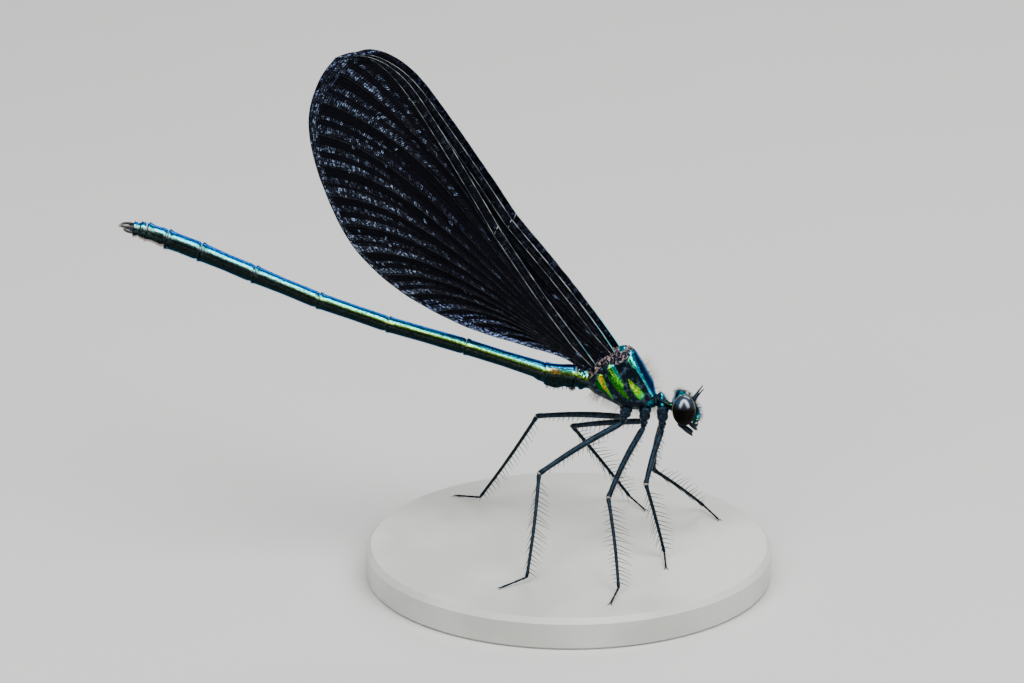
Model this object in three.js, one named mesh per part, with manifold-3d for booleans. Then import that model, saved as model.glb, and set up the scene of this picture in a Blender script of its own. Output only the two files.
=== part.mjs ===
// A life-size still model of a black-winged damselfly, perched on a plain round base.
// Millimetres, +Z up, +X the way the animal faces, +Y its left side.
// The origin is the centre of the base's underside.

import * as THREE from 'three';
import { mergeVertices } from 'three/addons/utils/BufferGeometryUtils.js';
import Module from 'manifold-3d';

const wasm = await Module();
wasm.setup();

// Clearances
const GAP = 0.3; // kept between pieces that touch
const THIN = 0.5; // least thickness of a thin piece
const GRAFT = 0.15; // how deep a spine, claw or bulge is sunk into what carries it

// Base
const STAND_RADIUS = 16;
const STAND_THICKNESS = 2.5;
const STAND_CHAMFER = 0.4;
const STAND_SIDES = 64;

// Stance of the body over the base
const THORAX_AHEAD = 4.4; // thorax reference point, forward of the base's centre
const THORAX_LEFT = 2.7; // and to the left of it
const THORAX_HEIGHT = 12.27; // and above the top of the base
const LEAN = 5; // degrees that the back leans over to the left

// Thorax, from the abdomen forward: place along the body, height of back and belly, half width
const THORAX_RINGS = [
  { x: -2.75, back: 1.5, belly: -0.3, half: 0.9 },
  { x: -2.45, back: 1.95, belly: -0.6, half: 1.2 },
  { x: -1.7, back: 2.5, belly: -0.95, half: 1.5 },
  { x: -0.8, back: 2.95, belly: -1.4, half: 1.62 },
  { x: -0.1, back: 3.15, belly: -1.8, half: 1.65 },
  { x: 0.45, back: 3.0, belly: -1.9, half: 1.58 },
  { x: 0.85, back: 2.5, belly: -1.9, half: 1.5 },
  { x: 1.4, back: 1.55, belly: -1.9, half: 1.38 },
  { x: 1.9, back: 0.7, belly: -1.85, half: 1.2 },
  { x: 2.3, back: 0.0, belly: -1.75, half: 0.95 },
];
const THORAX_SIDES = 20;
const THORAX_SQUARENESS = 0.78; // 1 is an ellipse, less is boxier

// Prothorax with the thin neck at its front
const PROTHORAX_RINGS = [
  { x: 2.6, back: -0.7, belly: -1.75, half: 0.7 },
  { x: 2.8, back: -0.55, belly: -1.9, half: 0.92 },
  { x: 3.1, back: -0.8, belly: -1.95, half: 0.85 },
  { x: 3.32, back: -1.3, belly: -1.95, half: 0.52 },
  { x: 3.55, back: -1.42, belly: -2.05, half: 0.36 },
  { x: 3.85, back: -1.45, belly: -2.1, half: 0.34 },
];
const PROTHORAX_SIDES = 14;

// Head: its outline in the middle plane as [forward, up], from the crown over the face
const HEAD_OUTLINE = [
  [4.5, -0.72],
  [4.85, -0.58],
  [5.2, -0.72],
  [5.55, -1.15],
  [5.8, -1.65],
  [5.93, -2.2],
  [5.85, -2.7],
  [5.4, -2.95],
  [4.8, -2.95],
  [4.35, -2.7],
  [4.15, -2.2],
  [4.15, -1.6],
  [4.25, -1.05],
];
const EYE_CENTRE = [4.67, -1.73]; // forward, up
const EYE_APART = 1.5; // from the middle plane to the eye's centre
const EYE_RADII = { forward: 0.88, out: 0.85, up: 1.13 };
const EYE_FLOOR = 1.05; // where the eye's flat inner face stands, from the middle plane
const CUP_RADII = { forward: 0.72, up: 0.95 }; // the side of the head that carries the eye
const HEAD_LAYERS = [-1, -0.7, -0.35, 0, 0.35, 0.7, 1]; // shares of the head's half width
const CUP_TURN = 1.6; // how late, towards the side, the full outline gives way to the cup
const EYE_SIDES = 20;
const EYE_STEPS = 8;

// Mouthparts and feelers
const LABRUM = { centre: [5.6, -3.3], forward: 0.25, up: 0.27, half: 0.6, taper: 0.35 };
const LABIUM = { from: [4.35, -3.52], to: [5.3, -4.02], thick: 0.27, rootHalf: 0.6, tipHalf: 0.32 };
const MOUTH_SIDES = 10;
const MOUTH_SQUARENESS = 0.8;
const ANTENNA = { root: [5.53, 0.5, -0.92], reach: [0.68, 0.45, 0.95], radii: [0.23, 0.21, 0.13, 0.07] };

// Abdomen: length of each segment, its rise in degrees towards the tail, and its width at the tail end
const SEGMENTS = [
  { length: 1.1, rise: 21, width: 1.55 },
  { length: 2.45, rise: 6, width: 1.42 },
  { length: 6.55, rise: 18, width: 1.3 },
  { length: 6.35, rise: 16.5, width: 1.27 },
  { length: 5.75, rise: 19.5, width: 1.3 },
  { length: 5.45, rise: 23, width: 1.4 },
  { length: 4.55, rise: 23.5, width: 1.48 },
  { length: 2.8, rise: 21.5, width: 1.5 },
  { length: 1.65, rise: 21, width: 1.4 },
  { length: 1.05, rise: 10, width: 1.1 },
];
const ABDOMEN_START = [-2.9, 0.48];
const ABDOMEN_FIRST_WIDTH = 1.65;
const SEGMENT_SIDES = 12;
const SEGMENT_WAIST = 0.96; // the middle of a segment, against its thinner end
const SEGMENT_FLARE = 1.06; // the rim at a segment's tail end, against its width
const SEGMENT_RIM = 0.35; // how far from the end the rim begins
const BELLY_BULGE = { share: 0.42, drop: 0.62, radii: [1.0, 0.42, 0.42] }; // under the second segment
const CLASPER = { apart: 0.33, upper: 0.28, lower: -0.22, bow: 0.28, rootRadius: 0.21, tipRadius: 0.09 };
const CERCUS_LENGTH = 1.15;
const PARAPROCT_LENGTH = 0.75;

// Wings. Outline from the root along the leading edge, in shares of length and width
const WING_RISE = 55.4; // degrees of the wing's long axis above the tail's direction
const NODUS = 0.42; // the kink in the leading edge
const LEADING_TO_NODUS = [
  [-0.04, 0.01],
  [0.07, 0.008],
  [0.23, 0.015],
  [NODUS, 0],
];
const LEADING_TO_TIP = [
  [NODUS, 0],
  [0.55, -0.035],
  [0.72, -0.07],
  [0.85, -0.078],
  [0.93, -0.015],
  [0.98, 0.1],
  [1.0, 0.25],
];
const TRAILING_TO_ROOT = [
  [1.0, 0.25],
  [0.975, 0.47],
  [0.91, 0.71],
  [0.8, 0.88],
  [0.66, 0.985],
  [0.55, 0.99],
  [0.42, 0.89],
  [0.27, 0.66],
  [0.14, 0.36],
  [0.05, 0.16],
  [-0.04, 0.11],
];
const WING_KINDS = {
  fore: { length: 31.2, width: 9.3, bow: 0.03, rootAside: 0.62, restAside: 0.4 },
  hind: { length: 31.4, width: 10.2, bow: 0, rootAside: 0.78, restAside: 1.4 },
};
// Where each wing is rooted on the thorax, and how many degrees it leans back from the others
const WINGS = [
  { name: 'forewing_right', kind: 'fore', side: -1, root: [-0.85, 2.95], swing: 3.0 },
  { name: 'forewing_left', kind: 'fore', side: 1, root: [-0.5, 3.2], swing: 3.0 },
  { name: 'hindwing_right', kind: 'hind', side: -1, root: [-2.3, 1.95], swing: 0 },
  { name: 'hindwing_left', kind: 'hind', side: 1, root: [-2.3, 1.95], swing: 0.8 },
];
const ROOT_CURVE = 1.6; // along the span, how fast the root's spread settles to the resting spread
const VEINS = 12; // main veins that curve from the leading to the trailing edge
const VEIN_CROWDING = 0.9; // under 1, they stand closer at the tip
const VEIN_FOOT = 0.16; // from a vein's crest to its foot, in shares of the way to the next vein
const VEIN_STEPS = 6; // steps along each vein behind the radius vein
const VEIN_HEIGHT = 0.2;
const RADIUS_BEHIND = 0.07; // the radius vein behind the leading edge, in shares of width
const RADIUS_ROOM = 0.28; // and in shares of the wing's depth there, where that is less
const TIP_FROM = 0.415; // where the leading edge turns into the tip, in shares of the outline
const TIP_TO = 0.53;
const VEIN_LEAVES = 7; // degrees at which a vein leaves the radius vein
const VEIN_ARRIVES = 62; // degrees to the span at which it meets the trailing edge
const VEIN_REACH = 0.36; // how far it keeps these directions, in shares of its length

// Legs: where each pair grows from the body, the true lengths, and the length of the shin's spines
const LEG_PAIRS = {
  hind: { socket: [0.15, 0.78, -1.7], hip: [-0.2, 0.9, -2.82], femur: 8.15, tibia: 8.74, spine: 0.85 },
  middle: { socket: [1.6, 0.82, -1.7], hip: [1.43, 1.0, -3.22], femur: 7.4, tibia: 8.03, spine: 0.95 },
  front: { socket: [2.98, 0.6, -1.7], hip: [2.9, 0.8, -3.42], femur: 5.26, tibia: 5.7, spine: 0.75 },
};
// Where each ankle stands from the thorax, and in degrees how the knee swings out, how the shin
// turns its spines about itself, and where the foot points
const STANCE = {
  right_hind: { ankle: [-7.74, -11.06], swivel: 56, twist: 0, heading: -148 },
  right_middle: { ankle: [-0.67, -13.27], swivel: 72, twist: 78, heading: -106 },
  right_front: { ankle: [3.04, -5.83], swivel: 35, twist: 0, heading: -88 },
  left_hind: { ankle: [-11.45, 6.18], swivel: 17, twist: 0, heading: 146 },
  left_middle: { ankle: [0.57, 6.38], swivel: -56, twist: 0, heading: -60 },
  left_front: { ankle: [6.47, 4.29], swivel: -125, twist: 0, heading: -62 },
};
const ANKLE_HEIGHT = 0.45;
const TARSUS_LENGTH = 2.3;
const TARSUS_RADIUS = 0.25;
const LEG_SIDES = 8;
// Radii along each part of a leg, as [share of its length, radius]
const COXA_RADII = [
  [0, 0.46],
  [0.55, 0.42],
  [0.72, 0.3],
  [1, 0.28],
];
const FEMUR_RADII = [
  [0, 0.28],
  [0.12, 0.29],
  [0.5, 0.28],
  [0.92, 0.26],
  [1, 0.28],
];
const TIBIA_RADII = [
  [0, 0.26],
  [0.08, 0.26],
  [0.6, 0.25],
  [0.94, 0.25],
  [1, 0.26],
];
const TARSUS_RADII = [
  [0, TARSUS_RADIUS],
  [0.3, TARSUS_RADIUS],
  [1, 0.23],
];
const FEMUR_BOW = 0.06; // how far the middle of a thigh bows out
const CLAW = { length: 0.5, spread: 28, rootRadius: 0.18, tipRadius: 0.06 };

// Spines, in two rows on the inner side of each thigh and shin
const SPINE_ROOT_RADIUS = 0.2;
const SPINE_TIP_RADIUS = 0.06;
const TIBIA_SPINES = { spacing: 0.82, spread: 62, slope: 35, skipRoot: 0.9, skipTip: 0.5 };
const FEMUR_SPINES = { spacing: 1.1, length: 0.6, spread: 40, slope: 30, skipRoot: 1.0, skipTip: 1.1 };
const SPINE_VARIATION = 0.16; // of length and of angle
const SPINE_STRAY = 0.1; // along the limb
const SPINE_SEAT = 0.18; // from a limb's middle line to a spine's root
const SPINE_LENGTHS = { least: 0.75, more: 0.5 }; // at the ends of a row, and added in its middle
const SPINE_SEED = 20;

// Finishes
const FINISHES = {
  metal: new THREE.MeshStandardMaterial({ color: 0x0b5f6b, roughness: 0.28, metalness: 0.6 }),
  black: new THREE.MeshStandardMaterial({ color: 0x0a0d12, roughness: 0.4, metalness: 0.1 }),
  wing: new THREE.MeshStandardMaterial({ color: 0x08080f, roughness: 0.45, metalness: 0.15 }),
  eye: new THREE.MeshStandardMaterial({ color: 0x120a07, roughness: 0.12, metalness: 0 }),
  base: new THREE.MeshStandardMaterial({ color: 0xd9d6cf, roughness: 0.6, metalness: 0 }),
};

const vec = (x, y, z) => new THREE.Vector3(x, y, z);
const radians = THREE.MathUtils.degToRad;
const lerp = THREE.MathUtils.lerp;

// A repeatable draw between -1 and 1
let drawState = SPINE_SEED;
function draw() {
  drawState = (drawState * 16807) % 2147483647;
  return (drawState / 2147483647) * 2 - 1;
}

// Makes a geometry from points and triangles, turned so that its faces point out
function closedGeometry(points, triangles) {
  let volume = 0;
  for (let i = 0; i < triangles.length; i += 3) {
    const [a, b, c] = [0, 1, 2].map((k) => points[triangles[i + k]]);
    volume += a.dot(vec(0, 0, 0).crossVectors(b, c));
  }
  const faces = volume > 0 ? triangles : triangles.slice().reverse();
  const geometry = new THREE.BufferGeometry().setFromPoints(points);
  geometry.setIndex(faces);
  geometry.computeVertexNormals();
  return geometry;
}

// A closed skin over rings of equally many points, with a flat fan over each end
function loft(rings) {
  const sides = rings[0].length;
  const last = (rings.length - 1) * sides;
  const triangles = [];
  for (let r = 0; r < last; r += sides) {
    for (let s = 0; s < sides; s += 1) {
      const a = r + s;
      const b = r + ((s + 1) % sides);
      triangles.push(a, b, b + sides, a, b + sides, a + sides);
    }
  }
  for (let s = 1; s < sides - 1; s += 1) {
    triangles.push(0, s + 1, s);
    triangles.push(last, last + s, last + s + 1);
  }
  return closedGeometry(rings.flat(), triangles);
}

// Points round a centre in the plane of two axes; squareness under 1 makes it boxier
function ring(centre, across, up, halfAcross, halfUp, sides, squareness = 1) {
  const points = [];
  for (let s = 0; s < sides; s += 1) {
    const angle = (s / sides) * Math.PI * 2;
    const c = Math.cos(angle);
    const n = Math.sin(angle);
    const a = Math.sign(c) * Math.abs(c) ** squareness * halfAcross;
    const b = Math.sign(n) * Math.abs(n) ** squareness * halfUp;
    points.push(centre.clone().addScaledVector(across, a).addScaledVector(up, b));
  }
  return points;
}

// Two axes square to a direction, the first of them as near as can be to a wanted one
function squareAxes(direction, wanted) {
  const first = wanted.clone().addScaledVector(direction, -wanted.dot(direction)).normalize();
  return [first, vec(0, 0, 0).crossVectors(direction, first)];
}

function toManifold(geometry) {
  const bare = geometry.clone();
  bare.deleteAttribute('normal');
  bare.deleteAttribute('uv');
  const merged = mergeVertices(bare, 1e-5);
  const mesh = new wasm.Mesh({
    numProp: 3,
    vertProperties: new Float32Array(merged.attributes.position.array),
    triVerts: new Uint32Array(merged.index.array),
  });
  return new wasm.Manifold(mesh);
}

// The largest closed surface of a manifold, as a geometry
function toGeometry(manifold) {
  const parts = manifold.decompose();
  const main = parts.reduce((a, b) => (a.volume() > b.volume() ? a : b));
  const mesh = main.getMesh();
  const geometry = new THREE.BufferGeometry();
  geometry.setAttribute('position', new THREE.BufferAttribute(mesh.vertProperties, 3));
  geometry.setIndex(new THREE.BufferAttribute(mesh.triVerts, 1));
  geometry.computeVertexNormals();
  return geometry;
}

function fuse(pieces) {
  return toGeometry(pieces.map(toManifold).reduce((a, b) => a.add(b)));
}

function cut(geometry, tools) {
  return toGeometry(tools.map(toManifold).reduce((a, b) => a.subtract(b), toManifold(geometry)));
}

function place(parent, name, geometry, finish, position = vec(0, 0, 0)) {
  const mesh = new THREE.Mesh(geometry, FINISHES[finish]);
  mesh.name = name;
  mesh.position.copy(position);
  parent.add(mesh);
  return mesh;
}

// Rings across the body's length, from heights of back and belly; grow makes them larger all round
function bodyLoft(rows, sides, squareness, grow = 0) {
  const rings = rows.map((row, i) => {
    const end = i === 0 ? -grow : i === rows.length - 1 ? grow : 0;
    const centre = vec(row.x + end, 0, (row.back + row.belly) / 2);
    const halfUp = (row.back - row.belly) / 2 + grow;
    return ring(centre, vec(0, 1, 0), vec(0, 0, 1), row.half + grow, halfUp, sides, squareness);
  });
  return loft(rings);
}

const thorax = (grow) => bodyLoft(THORAX_RINGS, THORAX_SIDES, THORAX_SQUARENESS, grow);
const prothorax = (grow) => bodyLoft(PROTHORAX_RINGS, PROTHORAX_SIDES, 0.9, grow);

// The head between the eyes: layers across it, from an oval cup at each side to the full outline
function headGeometry() {
  const half = EYE_FLOOR - GAP;
  const [cx, cz] = EYE_CENTRE;
  const rings = HEAD_LAYERS.map((share) => {
    const towardsCup = Math.abs(share) ** CUP_TURN;
    return HEAD_OUTLINE.map(([x, z]) => {
      const angle = Math.atan2(z - cz, x - cx);
      const cupX = cx + CUP_RADII.forward * Math.cos(angle);
      const cupZ = cz + CUP_RADII.up * Math.sin(angle);
      return vec(lerp(x, cupX, towardsCup), share * half, lerp(z, cupZ, towardsCup));
    });
  });
  return loft(rings);
}

// An eye: a dome with a flat inner face, its pole pointing out along the local Y axis
function eyeGeometry() {
  const floor = EYE_FLOOR - EYE_APART;
  const start = Math.asin(floor / EYE_RADII.out);
  const profile = [new THREE.Vector2(0, floor)];
  for (let i = 0; i < EYE_STEPS; i += 1) {
    const angle = lerp(start, Math.PI / 2, i / EYE_STEPS);
    profile.push(new THREE.Vector2(Math.cos(angle), Math.sin(angle) * EYE_RADII.out));
  }
  profile.push(new THREE.Vector2(0, EYE_RADII.out));
  const geometry = new THREE.LatheGeometry(profile, EYE_SIDES);
  geometry.scale(EYE_RADII.forward, 1, EYE_RADII.up);
  return geometry;
}

function addHead(body) {
  place(body, 'head', headGeometry(), 'metal');
  for (const [side, sign] of [['right', -1], ['left', 1]]) {
    const eye = place(body, `eye_${side}`, eyeGeometry(), 'eye');
    eye.position.set(EYE_CENTRE[0], sign * EYE_APART, EYE_CENTRE[1]);
    eye.rotation.x = sign < 0 ? Math.PI : 0;

    const [x, y, z] = ANTENNA.root;
    const reach = vec(ANTENNA.reach[0], sign * ANTENNA.reach[1], ANTENNA.reach[2]);
    const [across, up] = squareAxes(reach.clone().normalize(), vec(0, 1, 0));
    const rings = ANTENNA.radii.map((radius, i) => {
      const centre = reach.clone().multiplyScalar(i / (ANTENNA.radii.length - 1));
      return ring(centre, across, up, radius, radius, LEG_SIDES);
    });
    place(body, `antenna_${side}`, loft(rings), 'black', vec(x, sign * y, z));
  }

  const lip = LABRUM;
  const lipRings = [-1, -0.6, 0, 0.6, 1].map((share) => {
    const size = 1 - lip.taper * share ** 2;
    const centre = vec(0, share * lip.half, 0);
    const [halfForward, halfUp] = [lip.forward * size, lip.up * size];
    return ring(centre, vec(1, 0, 0), vec(0, 0, 1), halfForward, halfUp, MOUTH_SIDES, MOUTH_SQUARENESS);
  });
  place(body, 'labrum', loft(lipRings), 'metal', vec(lip.centre[0], 0, lip.centre[1]));

  const low = LABIUM;
  const along = vec(low.to[0] - low.from[0], 0, low.to[1] - low.from[1]);
  const [across, up] = squareAxes(along.clone().normalize(), vec(0, 1, 0));
  const lowRings = [0, 0.4, 0.8, 1].map((share) => {
    const half = lerp(low.rootHalf, low.tipHalf, share ** 2);
    const centre = along.clone().multiplyScalar(share);
    return ring(centre, across, up, half, low.thick, MOUTH_SIDES, MOUTH_SQUARENESS);
  });
  place(body, 'labium', loft(lowRings), 'black', vec(low.from[0], 0, low.from[1]));
}

// One abdomen segment along the local Y axis, slightly waisted, with a flared rim at its tail end
function segmentProfile(length, startRadius, endRadius) {
  const middle = Math.min(startRadius, endRadius) * SEGMENT_WAIST;
  const rim = Math.min(SEGMENT_RIM, length / 4);
  const rows = [
    [0, 0],
    [startRadius * 0.94, 0],
    [startRadius, rim],
    [middle, length * 0.55],
    [endRadius, length - rim],
    [endRadius * SEGMENT_FLARE, length - rim * 0.4],
    [endRadius * 0.97, length],
    [0, length],
  ];
  return rows.map(([radius, y]) => new THREE.Vector2(radius, y));
}

function addAbdomen(body) {
  const spot = vec(ABDOMEN_START[0], 0, ABDOMEN_START[1]);
  let radius = ABDOMEN_FIRST_WIDTH / 2;
  let rise = 0;
  SEGMENTS.forEach((segment, i) => {
    const length = segment.length - GAP;
    const endRadius = segment.width / 2;
    rise = radians(segment.rise);
    const pieces = [new THREE.LatheGeometry(segmentProfile(length, radius, endRadius), SEGMENT_SIDES)];
    if (i === 1) {
      const bulge = new THREE.SphereGeometry(1, 12, 8);
      const [along, across, down] = BELLY_BULGE.radii;
      bulge.scale(down, along, across);
      bulge.translate(-BELLY_BULGE.drop, length * BELLY_BULGE.share, 0);
      pieces.push(bulge);
    }
    const tail = vec(-Math.cos(rise), 0, Math.sin(rise));
    const start = spot.clone().addScaledVector(tail, GAP / 2);
    const mesh = place(body, `abdomen_${i + 1}`, fuse(pieces), 'metal', start);
    const up = vec(Math.sin(rise), 0, Math.cos(rise));
    const side = vec(0, 0, 0).crossVectors(up, tail);
    mesh.quaternion.setFromRotationMatrix(new THREE.Matrix4().makeBasis(up, tail, side));
    spot.addScaledVector(tail, segment.length);
    radius = endRadius;
  });
  addClaspers(body, spot, rise);
}

// Upper claspers bow out and close again like forceps; the lower pair is shorter
function addClaspers(body, spot, rise) {
  const tail = vec(-Math.cos(rise), 0, Math.sin(rise));
  const up = vec(Math.sin(rise), 0, Math.cos(rise));
  for (const [side, sign] of [['right', -1], ['left', 1]]) {
    for (const [name, length, height] of [
      ['cercus', CERCUS_LENGTH, CLASPER.upper],
      ['paraproct', PARAPROCT_LENGTH, CLASPER.lower],
    ]) {
      const steps = [0, 0.35, 0.7, 1];
      const rings = steps.map((share) => {
        const bow = CLASPER.bow * Math.sin(share * Math.PI) * (length / CERCUS_LENGTH);
        const centre = tail.clone().multiplyScalar(share * length);
        centre.y += sign * bow;
        const radius = lerp(CLASPER.rootRadius, CLASPER.tipRadius, share ** 2);
        return ring(centre, vec(0, 1, 0), up, radius, radius, LEG_SIDES);
      });
      const root = spot.clone().addScaledVector(tail, GAP / 2).addScaledVector(up, height);
      root.y = sign * CLASPER.apart;
      place(body, `${name}_${side}`, loft(rings), 'black', root);
    }
  }
}

// The wing's outline as one run from the root along the leading edge and back
function wingOutline({ length, width, bow }) {
  const path = new THREE.CurvePath();
  const bowed = LEADING_TO_NODUS.map(([u, v]) => [u, v - bow * Math.sin((Math.PI * u) / NODUS)]);
  for (const run of [bowed, LEADING_TO_TIP, TRAILING_TO_ROOT]) {
    path.add(new THREE.SplineCurve(run.map(([u, v]) => new THREE.Vector2(u * length, v * width))));
  }
  return (share) => path.getPointAt(share);
}

// One line across the wing: leading edge, radius vein, then a curve down to the trailing edge
function wingLine(outline, width, share) {
  const lead = outline(TIP_FROM * share);
  const ahead = outline(TIP_FROM * share + 0.004);
  const rear = outline(lerp(1, TIP_TO, share));
  if (share === 1) {
    const steps = VEIN_STEPS + 2;
    return Array.from({ length: steps + 1 }, (_, i) => outline(lerp(TIP_FROM, TIP_TO, i / steps)));
  }
  const along = ahead.clone().sub(lead).normalize();
  const inward = new THREE.Vector2(-along.y, along.x);
  const room = lead.distanceTo(rear);
  const behind = Math.min(RADIUS_BEHIND * width, RADIUS_ROOM * room);
  const start = lead.clone().addScaledVector(inward, behind);
  const line = [lead, lead.clone().addScaledVector(inward, behind / 2), start];
  const run = start.distanceTo(rear);
  const leave = along.clone().rotateAround(new THREE.Vector2(), radians(VEIN_LEAVES));
  const arrive = new THREE.Vector2(Math.cos(radians(VEIN_ARRIVES)), Math.sin(radians(VEIN_ARRIVES)));
  const reach = share > 0 ? run * VEIN_REACH : 0;
  const curve = new THREE.CubicBezierCurve(
    start,
    start.clone().addScaledVector(leave, reach),
    rear.clone().addScaledVector(arrive, -reach),
    rear,
  );
  for (let i = 1; i <= VEIN_STEPS; i += 1) {
    line.push(curve.getPoint(i / VEIN_STEPS));
  }
  return line;
}

// A wing in its own frame: span along X, towards the trailing edge along Y, thickness along Z.
// Both faces carry the same triangles; veins stand up from the face that looks away from the body.
function wingGeometry(kind, side) {
  const outline = wingOutline(kind);
  const places = [{ share: 0, crest: true }];
  for (let j = 1; j <= VEINS; j += 1) {
    for (const foot of [-VEIN_FOOT, 0, VEIN_FOOT]) {
      places.push({ share: ((j + foot) / (VEINS + 1)) ** VEIN_CROWDING, crest: foot === 0 });
    }
  }
  places.push({ share: 1, crest: true });
  const inner = [];
  const outer = [];
  for (const { share, crest } of places) {
    wingLine(outline, kind.width, share).forEach((point, i) => {
      const spread = (kind.rootAside - kind.restAside) * Math.exp(-Math.max(point.x, 0) / ROOT_CURVE);
      const middle = kind.restAside + spread;
      const raised = i === 0 || i === 2 || (i > 2 && crest);
      const top = middle + THIN / 2 + (raised ? VEIN_HEIGHT : 0);
      inner.push(vec(point.x, point.y, -side * (middle - THIN / 2)));
      outer.push(vec(point.x, point.y, -side * top));
    });
  }
  const stations = VEIN_STEPS + 3;
  const last = places.length - 1;
  const count = outer.length;
  const triangles = [];
  const quad = (a, b, c, d) => triangles.push(a, b, c, a, c, d);
  for (let j = 0; j < last; j += 1) {
    for (let i = 0; i < stations - 1; i += 1) {
      const a = j * stations + i;
      const d = a + stations;
      quad(a, a + 1, d + 1, d);
      triangles.push(count + a, count + d + 1, count + a + 1, count + a, count + d, count + d + 1);
    }
  }
  const rim = [];
  for (let i = 0; i < stations; i += 1) rim.push(i);
  for (let j = 1; j <= last; j += 1) rim.push(j * stations + stations - 1);
  for (let i = stations - 2; i >= 0; i -= 1) rim.push(last * stations + i);
  for (let j = last - 1; j > 0; j -= 1) rim.push(j * stations);
  rim.forEach((a, k) => {
    const b = rim[(k + 1) % rim.length];
    quad(b, a, count + a, count + b);
  });
  return closedGeometry(inner.concat(outer), triangles);
}

function addWings(body) {
  for (const wing of WINGS) {
    const mesh = place(body, wing.name, wingGeometry(WING_KINDS[wing.kind], wing.side), 'wing');
    const rise = radians(WING_RISE - wing.swing);
    const span = vec(-Math.cos(rise), 0, Math.sin(rise));
    const trailing = vec(-Math.sin(rise), 0, -Math.cos(rise));
    mesh.position.set(wing.root[0], 0, wing.root[1]);
    mesh.quaternion.setFromRotationMatrix(new THREE.Matrix4().makeBasis(span, trailing, vec(0, -1, 0)));
    mesh.updateMatrix();
    mesh.geometry = cut(mesh.geometry, [thorax(GAP).applyMatrix4(mesh.matrix.clone().invert())]);
  }
}

// A spike of few sides, sunk into what carries it
function spike(root, direction, length, rootRadius, tipRadius, sides = 3) {
  const [across, up] = squareAxes(direction, Math.abs(direction.z) < 0.9 ? vec(0, 0, 1) : vec(1, 0, 0));
  const low = root.clone().addScaledVector(direction, -GRAFT);
  const high = root.clone().addScaledVector(direction, length);
  return loft([
    ring(low, across, up, rootRadius, rootRadius, sides),
    ring(high, across, up, tipRadius, tipRadius, sides),
  ]);
}

// A limb between two joints. Its ends lie in the planes that halve the bends there, so that
// neighbours meet face to face; flexor is the inner side of the knee.
function limb({ from, to, startNormal, endNormal, radii, flexor, bow = 0, floor = -Infinity }) {
  const along = to.clone().sub(from);
  const length = along.length();
  along.normalize();
  const [inner, side] = squareAxes(along, flexor);
  const rings = radii.map(([share, radius]) => {
    const centre = from.clone().addScaledVector(along, share * length);
    centre.addScaledVector(inner, -bow * Math.sin(share * Math.PI));
    return ring(centre, inner, side, radius, radius, LEG_SIDES);
  });
  const slide = (points, joint, normal, offset) => {
    for (const point of points) {
      const off = point.clone().sub(joint).dot(normal) - offset;
      point.addScaledVector(along, -off / along.dot(normal));
    }
  };
  slide(rings[0], from, startNormal, GAP / 2);
  slide(rings[rings.length - 1], to, endNormal, -GAP / 2);
  for (const point of rings.flat()) {
    point.z = Math.max(point.z, floor);
  }
  return { geometry: loft(rings), along, inner, side, length };
}

// Two rows of spines along a limb, turned about it by twist, each with a little variation
function spineRows(shape, from, spec, twist = 0) {
  const { along, inner, side, length } = shape;
  const pieces = [];
  for (const row of [-1, 1]) {
    const count = Math.floor((length - spec.skipRoot - spec.skipTip) / spec.spacing);
    for (let i = 0; i <= count; i += 1) {
      const distance = spec.skipRoot + i * spec.spacing + draw() * SPINE_STRAY;
      const turn = radians(row * spec.spread * (1 + SPINE_VARIATION * draw()) + twist);
      const outward = inner.clone().multiplyScalar(Math.cos(turn));
      outward.addScaledVector(side, Math.sin(turn));
      const slope = radians(spec.slope * (1 + SPINE_VARIATION * draw()));
      const direction = outward.clone().multiplyScalar(Math.cos(slope));
      direction.addScaledVector(along, Math.sin(slope));
      const share = distance / length;
      const swell = SPINE_LENGTHS.least + SPINE_LENGTHS.more * Math.sin(share * Math.PI);
      const size = spec.length * swell * (1 + SPINE_VARIATION * draw());
      const root = from.clone().addScaledVector(along, distance);
      root.addScaledVector(outward, SPINE_SEAT);
      pieces.push(spike(root, direction, size, SPINE_ROOT_RADIUS, SPINE_TIP_RADIUS));
    }
  }
  return pieces;
}

// The knee of a two-part limb between hip and ankle, swung round the line between them
function kneeOf(hip, ankle, femur, tibia, swivel) {
  const line = ankle.clone().sub(hip);
  const distance = line.length();
  line.normalize();
  const reach = (femur ** 2 - tibia ** 2 + distance ** 2) / (2 * distance);
  const radius = Math.sqrt(femur ** 2 - reach ** 2);
  const [up, aside] = squareAxes(line, vec(0, 0, 1));
  const knee = hip.clone().addScaledVector(line, reach);
  knee.addScaledVector(up, radius * Math.cos(radians(swivel)));
  return knee.addScaledVector(aside, radius * Math.sin(radians(swivel)));
}

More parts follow.
